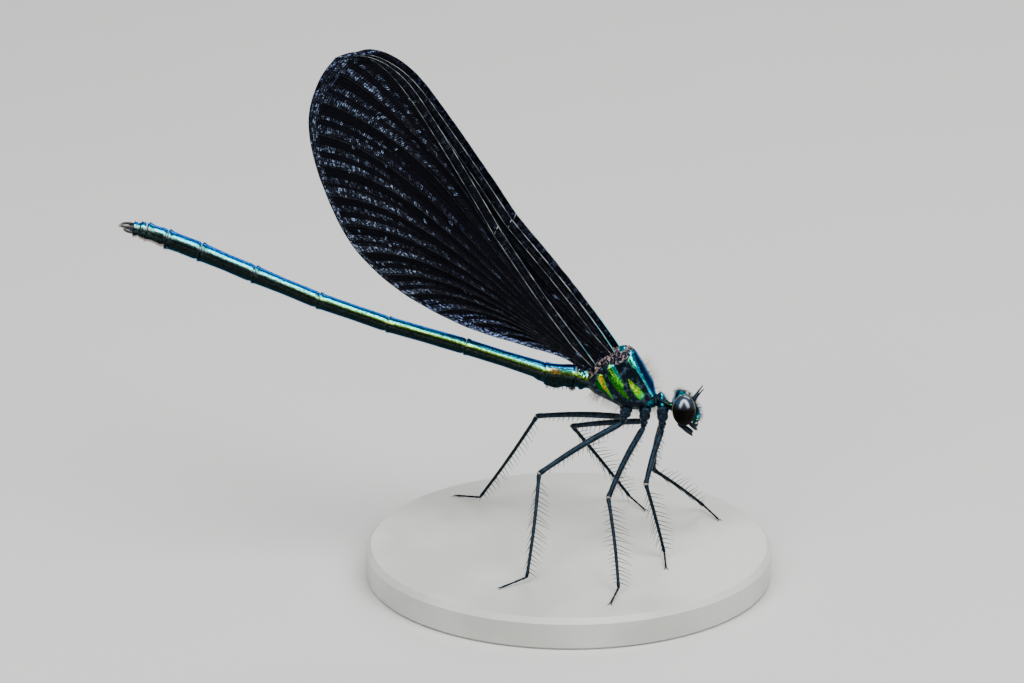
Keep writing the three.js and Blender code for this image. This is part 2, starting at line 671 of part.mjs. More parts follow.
function addLeg(model, body, leg, clearance) {
  const stance = STANCE[leg];
  const [sideName, pairName] = leg.split('_');
  const pair = LEG_PAIRS[pairName];
  const side = sideName === 'left' ? 1 : -1;
  const onBody = ([x, y, z]) => body.localToWorld(vec(x, side * y, z));
  const socket = onBody(pair.socket);
  const hip = onBody(pair.hip);
  const footing = STAND_THICKNESS + GAP;
  const thoraxSpot = body.position;
  const [ax, ay] = stance.ankle;
  const ankle = vec(thoraxSpot.x + ax, thoraxSpot.y + ay, STAND_THICKNESS + ANKLE_HEIGHT);
  const knee = kneeOf(hip, ankle, pair.femur, pair.tibia, stance.swivel);
  const heading = radians(stance.heading);
  const toe = ankle.clone().add(vec(Math.cos(heading), Math.sin(heading), 0).multiplyScalar(TARSUS_LENGTH));
  toe.z = footing + TARSUS_RADIUS;

  const joints = [socket, hip, knee, ankle, toe];
  const ways = joints.slice(1).map((joint, i) => joint.clone().sub(joints[i]).normalize());
  const halve = (i) => (i === 0 ? ways[0] : i === 4 ? ways[3] : ways[i - 1].clone().add(ways[i]).normalize());
  const kneeInner = ways[2].clone().sub(ways[1]);
  const part = (i, radii, extra = {}) => limb({
    from: joints[i],
    to: joints[i + 1],
    startNormal: halve(i),
    endNormal: halve(i + 1),
    radii,
    flexor: i === 0 ? vec(1, 0, 0.01) : i === 3 ? vec(0, 0, 1) : kneeInner,
    ...extra,
  });
  const add = (name, geometry, joint) => {
    geometry.translate(-joint.x, -joint.y, -joint.z);
    place(model, `${leg}_${name}`, geometry, 'black', joint);
  };

  const coxa = part(0, COXA_RADII);
  add('coxa', cut(coxa.geometry, clearance), socket);

  const femur = part(1, FEMUR_RADII, { bow: FEMUR_BOW });
  add('femur', fuse([femur.geometry, ...spineRows(femur, hip, FEMUR_SPINES)]), hip);

  const tibia = part(2, TIBIA_RADII);
  const shinSpines = { ...TIBIA_SPINES, length: pair.spine };
  add('tibia', fuse([tibia.geometry, ...spineRows(tibia, knee, shinSpines, stance.twist)]), knee);

  const tarsus = part(3, TARSUS_RADII, { floor: footing });
  const claws = [-1, 1].map((sign) => {
    const turn = heading + sign * radians(CLAW.spread);
    const direction = vec(Math.cos(turn), Math.sin(turn), 0);
    const root = toe.clone().addScaledVector(ways[3], -GAP / 2);
    return spike(root, direction, CLAW.length, CLAW.rootRadius, CLAW.tipRadius, 4);
  });
  add('tarsus', fuse([tarsus.geometry, ...claws]), ankle);
}

function standGeometry() {
  const profile = [
    [0, 0],
    [STAND_RADIUS - STAND_CHAMFER / 2, 0],
    [STAND_RADIUS, STAND_CHAMFER / 2],
    [STAND_RADIUS, STAND_THICKNESS - STAND_CHAMFER],
    [STAND_RADIUS - STAND_CHAMFER, STAND_THICKNESS],
    [0, STAND_THICKNESS],
  ].map(([radius, y]) => new THREE.Vector2(radius, y));
  return new THREE.LatheGeometry(profile, STAND_SIDES);
}

const model = new THREE.Group();
const body = new THREE.Group();
body.position.set(THORAX_AHEAD, THORAX_LEFT, STAND_THICKNESS + THORAX_HEIGHT);
body.rotation.x = -radians(LEAN);
model.add(body);
model.updateMatrixWorld(true);

place(body, 'thorax', thorax(0), 'metal');
place(body, 'prothorax', prothorax(0), 'metal');
addHead(body);
addAbdomen(body);
addWings(body);

const legClearance = [thorax(GAP), prothorax(GAP)].map((tool) => tool.applyMatrix4(body.matrixWorld));
for (const leg of Object.keys(STANCE)) {
  addLeg(model, body, leg, legClearance);
}

const stand = place(model, 'stand_base', standGeometry(), 'base');
stand.rotation.x = Math.PI / 2;

export default model;
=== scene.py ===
"""A black-winged damselfly as a still, life-size model on a round base."""

import bisect
import math
import random

import bmesh
import bpy
from mathutils import Matrix, Vector, noise


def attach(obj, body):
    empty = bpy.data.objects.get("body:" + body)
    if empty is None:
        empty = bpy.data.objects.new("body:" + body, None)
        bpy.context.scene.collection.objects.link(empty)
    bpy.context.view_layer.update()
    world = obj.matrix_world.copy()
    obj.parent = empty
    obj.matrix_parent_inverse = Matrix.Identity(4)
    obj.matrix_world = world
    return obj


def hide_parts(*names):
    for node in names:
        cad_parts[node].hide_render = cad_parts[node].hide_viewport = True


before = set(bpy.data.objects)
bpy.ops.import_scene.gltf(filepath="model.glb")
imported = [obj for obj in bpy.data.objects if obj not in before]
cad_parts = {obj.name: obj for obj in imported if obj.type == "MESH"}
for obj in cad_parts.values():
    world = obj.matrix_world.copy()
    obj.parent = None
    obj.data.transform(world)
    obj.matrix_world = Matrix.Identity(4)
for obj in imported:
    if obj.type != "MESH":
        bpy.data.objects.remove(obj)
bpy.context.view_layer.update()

# Camera
# The damselfly was photographed from its right side, a little above it, through a long lens.
# The camera looks at a point in the middle of the picture, close to the abdomen.
CAMERA_RISE = math.radians(19.5)
CAMERA_DISTANCE = 0.447
CAMERA_AIM = Vector((-0.00448, 0.00384, 0.01799))
CAMERA_LENS = 200.05

camera_data = bpy.data.cameras.new("camera")
camera_data.lens = CAMERA_LENS
camera_data.sensor_width = 36
camera_data.clip_start = 0.01
camera = bpy.data.objects.new("camera", camera_data)
towards_camera = Vector((0, -math.cos(CAMERA_RISE), math.sin(CAMERA_RISE)))
camera.location = CAMERA_AIM + CAMERA_DISTANCE * towards_camera
camera.rotation_euler = (math.pi / 2 - CAMERA_RISE, 0, 0)
bpy.context.collection.objects.link(camera)
bpy.context.scene.camera = camera

# Studio
# A plain pale floor with a soft, even sky, two soft panels side by side overhead, which draw the
# bright line along the abdomen and the two glints in the eye, and a faint panel behind.
FLOOR_REACH = 2.0
FLOOR_DARK = (0.60, 0.61, 0.59, 1)
FLOOR_PALE = (0.62, 0.63, 0.61, 1)
SKY_COLOUR = (0.82, 0.86, 0.88, 1)
SKY_STRENGTH = 0.17
LIGHT_AIM = Vector((0, 0, 0.015))
LIGHTS = [
    # name, place, width, depth, power in watts
    ("top_left", (-0.175, -0.17, 0.378), 0.17, 0.56, 2.2),
    ("top_right", (0.195, -0.17, 0.378), 0.22, 0.56, 2.85),
    ("behind", (0.15, 0.40, 0.26), 0.3, 0.15, 0.9),
]


def shader_node(material, kind, settings=None, inputs=None):
    """Adds a node; an input is a plain value or another node's output."""
    node = material.node_tree.nodes.new(kind)
    for name, value in (settings or {}).items():
        setattr(node, name, value)
    for name, value in (inputs or {}).items():
        if isinstance(value, bpy.types.NodeSocket):
            material.node_tree.links.new(value, node.inputs[name])
        else:
            node.inputs[name].default_value = value
    return node


def new_finish(name, **values):
    """A material; the values are its main shader's own sockets, with spaces as underscores."""
    material = bpy.data.materials.new(name)
    material.use_nodes = True
    shader = material.node_tree.nodes["Principled BSDF"]
    for key, value in values.items():
        shader.inputs[key.replace("_", " ")].default_value = value
    return material


def wire(material, **sockets):
    """Joins other nodes' outputs to the main shader's sockets."""
    shader = material.node_tree.nodes["Principled BSDF"]
    for key, socket in sockets.items():
        material.node_tree.links.new(socket, shader.inputs[key.replace("_", " ")])


def place_on_piece(material):
    return shader_node(material, "ShaderNodeTexCoord").outputs["Object"]


def grain(material, scale, detail=2.0):
    """Noise on the piece's own place in space; scale is in features a metre."""
    inputs = {"Vector": place_on_piece(material), "Scale": scale, "Detail": detail}
    return shader_node(material, "ShaderNodeTexNoise", inputs=inputs).outputs["Fac"]


def ease(material, value, low, high, start=0.0, end=1.0):
    """Takes a value between low and high smoothly from start to end."""
    inputs = {"Value": value, "From Min": low, "From Max": high, "To Min": start, "To Max": end}
    settings = {"interpolation_type": "SMOOTHSTEP"}
    return shader_node(material, "ShaderNodeMapRange", settings, inputs).outputs[0]


def blend_colours(material, share, first, second, way="MIX"):
    settings = {"data_type": "RGBA", "blend_type": way}
    node = shader_node(material, "ShaderNodeMix", settings, {0: share, 6: first, 7: second})
    return node.outputs[2]


def blotched_finish(name, scale, first, second, spread=None, detail=2.0, **values):
    """A finish that wanders between two colours; spread is where the noise passes from one to the other."""
    material = new_finish(name, **values)
    share = grain(material, scale, detail)
    if spread:
        share = ease(material, share, *spread)
    wire(material, Base_Color=blend_colours(material, share, first, second))
    return material


floor_finish = blotched_finish("floor_paper", 40.0, FLOOR_DARK, FLOOR_PALE, Roughness=0.85)
floor_bm = bmesh.new()
bmesh.ops.create_grid(floor_bm, x_segments=8, y_segments=8, size=FLOOR_REACH)
floor_mesh = bpy.data.meshes.new("floor")
floor_bm.to_mesh(floor_mesh)
floor_bm.free()
floor_mesh.materials.append(floor_finish)
floor = bpy.data.objects.new("floor", floor_mesh)
bpy.context.collection.objects.link(floor)

world = bpy.data.worlds.new("sky")
world.use_nodes = True
sky = world.node_tree.nodes["Background"]
sky.inputs["Color"].default_value = SKY_COLOUR
sky.inputs["Strength"].default_value = SKY_STRENGTH
bpy.context.scene.world = world

for name, place, width, depth, power in LIGHTS:
    light_data = bpy.data.lights.new(name, "AREA")
    light_data.shape = "RECTANGLE"
    light_data.size = width
    light_data.size_y = depth
    light_data.energy = power
    light = bpy.data.objects.new(name, light_data)
    light.location = place
    light.rotation_euler = (Vector(place) - LIGHT_AIM).to_track_quat("Z", "Y").to_euler()
    bpy.context.collection.objects.link(light)

# Base
# A turned disc of cast resin with a softened edge, sanded to an even satin and lightly clouded.
# The model's feet stand on it.
BASE_DARK = (0.50, 0.50, 0.47, 1)
BASE_PALE = (0.60, 0.60, 0.57, 1)


def emboss(material, height, distance, strength):
    """Shades the surface as if it were raised, by up to a distance in metres."""
    inputs = {"Height": height, "Distance": distance, "Strength": strength}
    wire(material, Normal=shader_node(material, "ShaderNodeBump", inputs=inputs).outputs[0])


base_finish = blotched_finish(
    "base_resin", 120.0, BASE_DARK, BASE_PALE, (0.35, 0.65), 4.0,
    Roughness=0.45, Coat_Weight=0.15, Coat_Roughness=0.3
)
emboss(base_finish, grain(base_finish, 5000.0), 0.00002, 0.4)
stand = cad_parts["stand_base"]
stand.data.materials.clear()
stand.data.materials.append(base_finish)

# Body skin
# One hard skin runs from the face over thorax and abdomen: chitin, black where it is not metallic,
# with blue, green and gold plates, folded brown skin at the wing roots and pale rings at the joints.
# Its colour also holds painted light: a painted highlight band and painted shade on the abdomen,
# painted shade and highlight on the root folds, and painted glints on the prothorax and face.
# The body's own frame is in millimetres, X forward and Z up, with its middle above the middle legs
MILLIMETRES = Matrix.Scale(0.001, 4)
BODY_ORIGIN = Vector((4.4, 2.7, 14.77))
BODY_TURN = Matrix.Translation(BODY_ORIGIN) @ Matrix.Rotation(math.radians(-5), 4, "X")
BODY_PLACE = MILLIMETRES @ BODY_TURN
# The head is turned a little about the length of the body, its left side down
HEAD_ROLL = math.radians(-6)
HEAD_PIVOT = Vector((0, -1.5, -1.7))
HEAD_TURN_START = 3.6
HEAD_TURN_LENGTH = 0.4
SKIN_SIDES = 128
FRONT_STEP = 0.045
SMOOTHINGS = 4
# Forward of the waist, in millimetres: place along the body, height of back and belly, half width, boxiness
FRONT_ROWS = [
    (5.95, -2.25, -2.35, 0.04, 1.0),
    (5.93, -2.02, -2.55, 0.3, 0.95),
    (5.86, -1.82, -2.72, 0.55, 0.9),
    (5.74, -1.55, -2.84, 0.74, 0.88),
    (5.56, -1.2, -2.92, 0.9, 0.85),
    (5.3, -0.9, -2.96, 1.02, 0.7),
    (5.0, -0.62, -2.97, 1.07, 0.62),
    (4.7, -0.44, -2.95, 1.08, 0.6),
    (4.45, -0.3, -2.9, 1.1, 0.58),
    (4.2, -0.28, -2.75, 1.1, 0.56),
    (4.0, -0.42, -2.5, 1.08, 0.56),
    (3.86, -0.78, -2.35, 1.0, 0.6),
    (3.78, -1.2, -2.15, 0.6, 0.8),
    (3.72, -1.42, -2.1, 0.35, 1.0),
    (3.55, -1.4, -2.05, 0.37, 1.0),
    (3.34, -1.24, -1.97, 0.55, 0.95),
    (3.1, -0.8, -1.95, 0.85, 0.9),
    (2.86, -0.58, -1.92, 0.93, 0.9),
    (2.66, -0.66, -1.82, 0.8, 0.9),
    (2.5, -0.85, -1.7, 0.6, 0.95),
    (2.42, -0.7, -1.68, 0.66, 0.9),
    (2.32, 0.15, -1.75, 0.96, 0.8),
    (1.9, 0.92, -1.87, 1.2, 0.78),
    (1.4, 1.84, -1.92, 1.39, 0.78),
    (0.85, 2.72, -1.92, 1.52, 0.78),
    (0.45, 3.1, -1.92, 1.59, 0.78),
    (-0.1, 3.15, -1.82, 1.66, 0.78),
    (-0.8, 2.95, -1.42, 1.63, 0.78),
    (-1.7, 2.5, -0.97, 1.51, 0.8),
    (-2.4, 1.93, -0.62, 1.23, 0.86),
    (-2.75, 1.46, -0.35, 0.95, 0.95),
    (-2.88, 1.24, -0.25, 0.83, 1.0),
]
# Segments of the abdomen: length, rise in degrees towards the tail, width at the tail end
SEGMENTS = [
    (1.1, 21, 1.55),
    (2.45, 6, 1.42),
    (6.55, 18, 1.3),
    (6.35, 16.5, 1.27),
    (5.75, 19.5, 1.3),
    (5.45, 23, 1.4),
    (4.55, 23.5, 1.48),
    (2.8, 21.5, 1.5),
    (1.65, 21, 1.4),
    (1.05, 10, 1.1),
]
ABDOMEN_START = (-2.9, 0.48)
ABDOMEN_FIRST_WIDTH = 1.66
JOINT_WIDTH = 0.09
GENITAL_SWELLING = 0.58
GENITAL_LENGTH = 4.1
# Each segment has close rings in its collar and its flared rim, and wider ones between; the tail is
# closed by rings as (step back, share of its size)
COLLAR = 0.4
COLLAR_AND_RIM = 0.85
COLLAR_RINGS = (0.0, 0.05, 0.09, 0.13, 0.18, 0.28, 0.4)
RIM_RINGS = (0.36, 0.27, 0.18, 0.13, 0.09, 0.06, 0.036)
RING_STEP = 0.3
TAIL_CAP = ((0.03, 0.8), (0.09, 0.5), (0.11, 0.02))


def mixed(first, second, share):
    """A number or colour part of the way from the first to the second."""
    if isinstance(first, tuple):
        return tuple(a + (b - a) * share for a, b in zip(first, second))
    return first + (second - first) * share


def between(stops, value):
    """Runs a table of (place, number or colour) in straight lines."""
    if value <= stops[0][0]:
        return stops[0][1]
    for (low, first), (high, second) in zip(stops, stops[1:]):
        if value <= high:
            return mixed(first, second, (value - low) / (high - low))
    return stops[-1][1]


def clamped(value):
    return min(1.0, max(0.0, value))


def front_rings():
    """Rings from the face to the waist, with place, lean, half height, half width and boxiness."""
    columns = [[(-row[0], row[k]) for row in FRONT_ROWS] for k in range(5)]
    face_x, waist_x = FRONT_ROWS[0][0], FRONT_ROWS[-1][0]
    count = round((face_x - waist_x) / FRONT_STEP)
    spots = [face_x - (face_x - waist_x) * k / count for k in range(count + 1)]
    rows = [[between(column, -x) for column in columns] for x in spots]
    for _ in range(SMOOTHINGS):
        threes = zip(rows, rows[1:], rows[2:])
        middle = [[(a + 2 * b + c) / 4 for a, b, c in zip(*three)] for three in threes]
        rows = [rows[0], *middle, rows[-1]]
    rings = []
    for x, back, belly, half, square in rows:
        size = {"up": (back - belly) / 2, "side": half, "square": square}
        rings.append({"x": x, "z": (back + belly) / 2, "lean": 0.0, **size})
    return rings


def abdomen_rings():
    """Rings from the waist to the tail; each segment has a collar, a slight waist and a flared rim."""
    rings = []
    x, z = ABDOMEN_START
    radius = ABDOMEN_FIRST_WIDTH / 2
    gone = 0.0
    for number, (length, rise, width) in enumerate(SEGMENTS, 1):
        lean = math.radians(rise)
        end = width / 2
        profile = [
            (0.0, radius * 0.9),
            (JOINT_WIDTH, radius * 0.93),
            (JOINT_WIDTH * 2, radius * 0.985),
            (COLLAR, radius),
            (length * 0.5, min(radius, end) * 0.965),
            (length - 0.45, end * 0.98),
            (length - 0.18, end * (1.05 + 0.006 * number)),
            (length - JOINT_WIDTH, end * (1.06 + 0.008 * number)),
            (length - JOINT_WIDTH * 0.4, end * 0.93),
            (length, end * 0.9),
        ]
        middle = length - COLLAR_AND_RIM
        inner = max(3, round(middle / RING_STEP))
        places = [
            *COLLAR_RINGS,
            *[COLLAR + middle * k / inner for k in range(1, inner + 1)],
            *[length - before for before in RIM_RINGS],
        ]
        for along in places:
            size = between(profile, along)
            ring = {"x": x - math.cos(lean) * along, "z": z + math.sin(lean) * along, "lean": lean}
            ring.update(up=size, side=size, square=1.0, segment=number, share=along / length)
            ring["joint"] = min(along, length - along)
            behind = (gone + along) / GENITAL_LENGTH
            if behind < 1:
                lump = 0.75 + 0.5 * noise.noise(Vector((behind * 9, 0.5, 0)))
                ring["keel"] = GENITAL_SWELLING * lump * math.sin(math.pi * behind) ** 0.6
            rings.append(ring)
        gone += length
        x -= math.cos(lean) * length
        z += math.sin(lean) * length
        radius = end
    last = rings[-1]
    for step, size in TAIL_CAP:
        rings.append({**last, "x": last["x"] - step, "up": last["up"] * size, "side": last["side"] * size})
    return rings


def ring_point(ring, turn):
    """A point of a ring; turn runs from the back round the animal's left side."""
    across, up = math.sin(turn), math.cos(turn)
    side = math.copysign(abs(across) ** ring["square"], across) * ring["side"]
    height = math.copysign(abs(up) ** ring["square"], up) * ring["up"]
    if up < 0:
        height -= ring.get("keel", 0.0) * abs(up) ** 5
    lean = ring["lean"]
    return Vector((ring["x"] + math.sin(lean) * height, side, ring["z"] + math.cos(lean) * height))


# The colours of the metallic plates
CYAN = (0.0, 0.62, 0.72)
PAINTED_GLINT_CYAN = (0.12, 0.85, 0.95)
TEAL = (0.0, 0.13, 0.16)
DARK_TEAL = (0.001, 0.03, 0.038)
DEEP_BLUE = (0.0, 0.065, 0.28)
GREEN = (0.03, 0.5, 0.02)
SPRING_GREEN = (0.03, 0.75, 0.2)
DARK_GREEN = (0.002, 0.08, 0.003)
LIME = (0.44, 0.85, 0.01)
GOLD = (0.75, 0.52, 0.02)
BRONZE = (0.55, 0.24, 0.01)
PAINTED_SHADE_GREEN = (0.008, 0.014, 0.013)

# Plates of the thorax and head, each a run of (forward, up, half width), with one colour or that of each end.
# The three cyan spots on the prothorax and the pale cyan spot on the face are painted highlights
PLATES = [
    ([(-1.31, 1.25, 0.14), (-0.98, 0.83, 0.2), (-0.58, 0.26, 0.23), (-0.11, -0.31, 0.19), (0.2, -0.68, 0.07)],
     DARK_GREEN, (0.03, 0.16, 0.01)),
    ([(-1.12, 1.05, 0.05), (-0.8, 0.72, 0.05), (-0.45, 0.42, 0.03)], BRONZE),
    ([(-1.08, 1.76, 0.27), (-0.8, 1.28, 0.25), (-0.5, 0.77, 0.19)], (0.02, 0.72, 0.28), (0.08, 0.7, 0.04)),
    ([(-0.5, 0.77, 0.19), (-0.18, 0.34, 0.09)], (0.08, 0.7, 0.04), LIME),
    ([(-0.97, 1.93, 0.08), (-0.72, 1.5, 0.07), (-0.5, 1.1, 0.03)], CYAN),
    ([(-1.28, 1.74, 0.12), (-0.98, 1.26, 0.12), (-0.6, 0.72, 0.07)], (0.5, 0.72, 0.01), LIME),
    ([(-2.2, 0.5, 0.17), (-1.95, 0.15, 0.22), (-1.7, -0.1, 0.12)], DARK_GREEN),
    ([(-1.95, 0.97, 0.27), (-1.68, 0.31, 0.2)], GOLD, BRONZE),
    ([(-1.68, 0.31, 0.2), (-1.36, -0.19, 0.11), (-0.98, -0.72, 0.06)], BRONZE, (0.12, 0.3, 0.02)),
    ([(0.26, 0.85, 0.07), (0.51, 0.42, 0.2), (0.85, -0.02, 0.29)], GOLD, LIME),
    ([(0.85, -0.02, 0.29), (1.16, -0.46, 0.32)], LIME, GREEN),
    ([(1.3, -0.5, 0.17), (1.36, -0.62, 0.1)], (0.1, 0.8, 0.45)),
    ([(0.38, 2.42, 0.18), (0.72, 1.86, 0.13)], SPRING_GREEN),
    ([(0.5, 2.5, 0.22), (0.8, 1.95, 0.155), (0.97, 1.59, 0.105), (1.25, 1.12, 0.09), (1.5, 0.65, 0.07),
      (1.74, 0.18, 0.06), (1.94, -0.29, 0.075), (2.18, -0.58, 0.12), (2.32, -0.5, 0.09)], CYAN),
    ([(2.02, -1.3, 0.33)] * 2, (0.0, 0.16, 0.2)),
    ([(2.06, -1.34, 0.17)] * 2, DARK_TEAL),
    ([(-1.33, 2.06, 0.1), (-1.22, 2.12, 0.1)], (0.15, 0.7, 0.5)),
    ([(-0.4, 3.0, 0.1), (-0.1, 3.12, 0.1)], CYAN),
    ([(0.4, 2.9, 0.1), (0.52, 2.78, 0.09)], CYAN),
    # Painted highlights: three cyan glints on the lobes of the prothorax
    ([(2.86, -0.5, 0.1), (2.98, -0.8, 0.12)], CYAN),
    ([(3.26, -1.16, 0.17)] * 2, PAINTED_GLINT_CYAN, CYAN),
    ([(2.92, -1.38, 0.12), (2.98, -1.52, 0.1)], CYAN),
    ([(3.55, -1.5, 0.07)] * 2, SPRING_GREEN),
    ([(4.35, -0.5, 0.2), (4.75, -0.45, 0.2), (5.1, -0.65, 0.16)], TEAL, (0.0, 0.35, 0.42)),
    # Painted highlight: a pale cyan glint on the face
    ([(5.76, -2.26, 0.13)] * 2, PAINTED_GLINT_CYAN, CYAN),
    ([(5.68, -2.52, 0.08)] * 2, LIME),
]
PLATE_MARGIN = (0.01, 0.42, 0.03)
# The front edge of the side plates, where the deep blue strip of the back begins, as (up, forward),
# and the strip's rear end, lower end and half the black seam along its middle
BLUE_EDGE = [(-0.75, 2.05), (-0.29, 1.94), (0.18, 1.74), (0.65, 1.5), (1.12, 1.25), (1.59, 0.97),
             (2.48, 0.55), (2.8, 0.62)]
BLUE_REAR = 0.5
BLUE_FLOOR = -0.72
BLUE_SEAM = 0.03
# Along the body: where head and prothorax begin, and where the thorax and its folded skin end in front
HEAD_START = 3.75
NECK_START = 2.45
THORAX_FRONT = 2.3
FOLDS_FRONT = 0.55
NECK_BLUE = (0.003, 0.03, 0.05)
# Metallic bits above this height stay clear of the folds
FOLDS_TOP = 2.7
# Where the folded skin has a pale rim, as stretches along the body, and half the rim's width
PALE_RIMS = ((-2.8, -2.05), (-0.95, 0.34))
PALE_RIM = 0.025
# The lower edge of the folded skin at the wing roots, as (forward, up)
FOLD_EDGE = [(-2.95, 0.6), (-2.74, 0.8), (-2.43, 1.15), (-2.12, 1.49), (-1.9, 1.78), (-1.29, 1.97),
             (-0.87, 2.01), (-0.42, 2.15), (-0.06, 2.4), (0.31, 2.66), (0.5, 2.86)]
# Sutures between the plates of the thorax, as (forward, up)
SUTURES = [
    [(0.2, 2.45), (0.6, 1.75), (1.05, 0.9), (1.6, -0.1), (2.05, -0.85)],
    [(-0.75, 1.95), (-0.3, 1.25), (0.15, 0.4), (0.65, -0.6), (1.0, -1.15)],
    [(-1.65, 1.55), (-1.3, 0.75), (-0.85, 0.0), (-0.35, -0.75), (0.1, -1.3)],
    [(-2.4, 0.35), (-1.9, -0.25), (-1.2, -0.8), (-0.4, -1.35)],
]
# How far the sutures, ridges and grooves of thorax and face stand out or are pressed in, with their widths
SUTURE = (0.055, 0.05)
BACK_RIDGE = (0.05, 0.06)
FOLD_GROOVE = (0.05, 0.04)
FACE_GROOVE = (0.04, 0.05)
FACE_GROOVES = ((5.6, -1.55), (5.78, -2.1), (5.72, -2.6))
FOLD_HEIGHT = 0.16
PLATE_HEIGHT = 0.035
# Tints round the abdomen, by degrees from the middle of the back: near the thorax, behind the middle
# and on the last segments. Besides the metallic blue and green they hold painted light: a bright
# cyan band of painted highlight where the overhead panels shine, and painted shade on the dark lower half
FRONT_TINTS_AND_PAINTED_LIGHT = [
    (0, (0.0, 0.03, 0.2)), (12, (0.0, 0.06, 0.32)), (22, (0.0, 0.17, 0.6)), (31, (0.0, 0.42, 0.9)),
    (39, (0.0, 0.6, 0.85)), (46, (0.03, 0.75, 0.75)), (54, (0.16, 0.85, 0.55)), (62, (0.34, 0.85, 0.1)),
    (68, (0.28, 0.38, 0.02)), (74, (0.04, 0.06, 0.03)), (84, (0.025, 0.04, 0.038)), (102, PAINTED_SHADE_GREEN),
]
TAIL_TINTS_AND_PAINTED_LIGHT = [
    (0, (0.0, 0.02, 0.16)), (14, (0.0, 0.05, 0.36)), (24, (0.0, 0.17, 0.7)), (33, (0.0, 0.38, 0.9)),
    (41, (0.0, 0.52, 0.8)), (49, (0.04, 0.7, 0.75)), (55, (0.1, 0.42, 0.3)), (62, (0.07, 0.11, 0.11)),
    (74, (0.04, 0.06, 0.065)), (96, PAINTED_SHADE_GREEN),
]
END_TINTS_AND_PAINTED_LIGHT = [
    (0, (0.0, 0.03, 0.2)), (14, (0.0, 0.08, 0.45)), (24, (0.0, 0.25, 0.8)), (33, (0.0, 0.48, 0.95)),
    (41, (0.03, 0.6, 0.85)), (49, (0.08, 0.66, 0.66)), (56, (0.12, 0.32, 0.24)), (63, (0.11, 0.16, 0.14)),
    (74, (0.06, 0.09, 0.085)), (88, (0.03, 0.05, 0.05)), (110, PAINTED_SHADE_GREEN),
]
# The painted highlight band lies lower on the first segments: degrees by share of the abdomen
PAINTED_BAND_SHIFT = [(0.14, 13), (0.27, 9), (0.38, 0)]
# Two warm spots: the side of the second segment and the top of the first
AMBER = (0.9, 0.5, 0.1)
MOSS = (0.3, 0.5, 0.06)


def run_distance(x, z, run):
    """How far inside a run of circles a point lies, and how far along the run, from 0 to 1."""
    best, where = -9.0, 0.0
    last = len(run) - 1
    for k, ((ax, az, ar), (bx, bz, br)) in enumerate(zip(run, run[1:])):
        dx, dz = bx - ax, bz - az
        size = dx * dx + dz * dz
        share = 0.0 if size == 0 else clamped(((x - ax) * dx + (z - az) * dz) / size)
        inside = mixed(ar, br, share) - math.hypot(x - ax - dx * share, z - az - dz * share)
        if inside > best:
            best, where = inside, (k + share) / last
    return best, where


def thorax_paint(x, y, z):
    """Depth inside a metallic plate with its colour, depth inside the folded skin, and inside a pale rim."""
    mark, tint = -0.3, DARK_TEAL
    if x > HEAD_START:
        mark = 0.1
    elif x > NECK_START:
        mark, tint = 0.05, NECK_BLUE
    elif x > BLUE_REAR and z > BLUE_FLOOR:
        strip = min(x - between(BLUE_EDGE, z), abs(y) - BLUE_SEAM, z - BLUE_FLOOR)
        if strip > mark:
            mark, tint = strip, DEEP_BLUE
    for run, *colours in PLATES:
        inside, where = run_distance(x, z, run)
        if inside > 0 or inside > mark and mark < 0:
            mark, tint = inside, mixed(colours[0], colours[-1], where)
    if x < THORAX_FRONT and tint[0] > 0.05:
        tint = between([(0.02, PLATE_MARGIN), (0.13, tint)], mark)
    fold, rim = -1.0, -1.0
    if x < FOLDS_FRONT and not (mark > 0 and z > FOLDS_TOP):
        fold = z - between(FOLD_EDGE, x)
        if any(rear < x < front for rear, front in PALE_RIMS):
            rim = PALE_RIM - abs(fold)
    return mark, tint, fold, rim


def abdomen_paint(ring, turn, point):
    """The same for the abdomen, metallic all round but for its pale rings and the tail's lower edge; its
    tints hold a painted highlight band and painted shade below it.
    """
    degrees = abs(math.degrees(turn) - (360 if turn > math.pi else 0))
    segment, share = ring["segment"], ring["share"]
    tail = (segment + share) / 11
    # The tints paint a highlight band along the side and painted shade on the lower half
    shift = between(PAINTED_BAND_SHIFT, tail) * min(1.0, degrees / 30)
    front_shaded_tint = between(FRONT_TINTS_AND_PAINTED_LIGHT, degrees - shift)
    rear_shaded_tint, end_shaded_tint = between(TAIL_TINTS_AND_PAINTED_LIGHT, degrees), between(END_TINTS_AND_PAINTED_LIGHT, degrees)
    tint = between([(0.42, front_shaded_tint), (0.62, rear_shaded_tint), (0.8, rear_shaded_tint), (0.88, end_shaded_tint)], tail)
    rim = JOINT_WIDTH * (0.3 if degrees < 65 else 0.06) - ring["joint"]
    if segment == 2 and share > 0.45 and 45 < degrees < 85:
        tint = mixed(tint, AMBER, clamped(0.5 + noise.noise(point * 2.0)))
    if segment == 1 and degrees < 75 and noise.noise(point * 2.5) > 0.05:
        tint = MOSS
    if segment > 8 and degrees > 128 + 14 * noise.noise(point * 5.0):
        rim = 0.05
    return 0.5, tint, -1.0, rim


def fold_ridge(x, y, z):
    """The root skin's winding folds, 1 on a ridge and 0 in a furrow."""
    spot = Vector((x * 1.7 + z * 1.3, y * 2.4, (z - x) * 3.4))
    winding = noise.noise(spot) + 0.45 * noise.noise(spot * 2.7)
    return max(0.0, 1.0 - abs(winding) * 3.6)


def bump(form, distance):
    """The height of a ridge at a distance from its middle line; a groove is the same, pressed in."""
    height, width = form
    return height * math.exp(-((distance / width) ** 2))


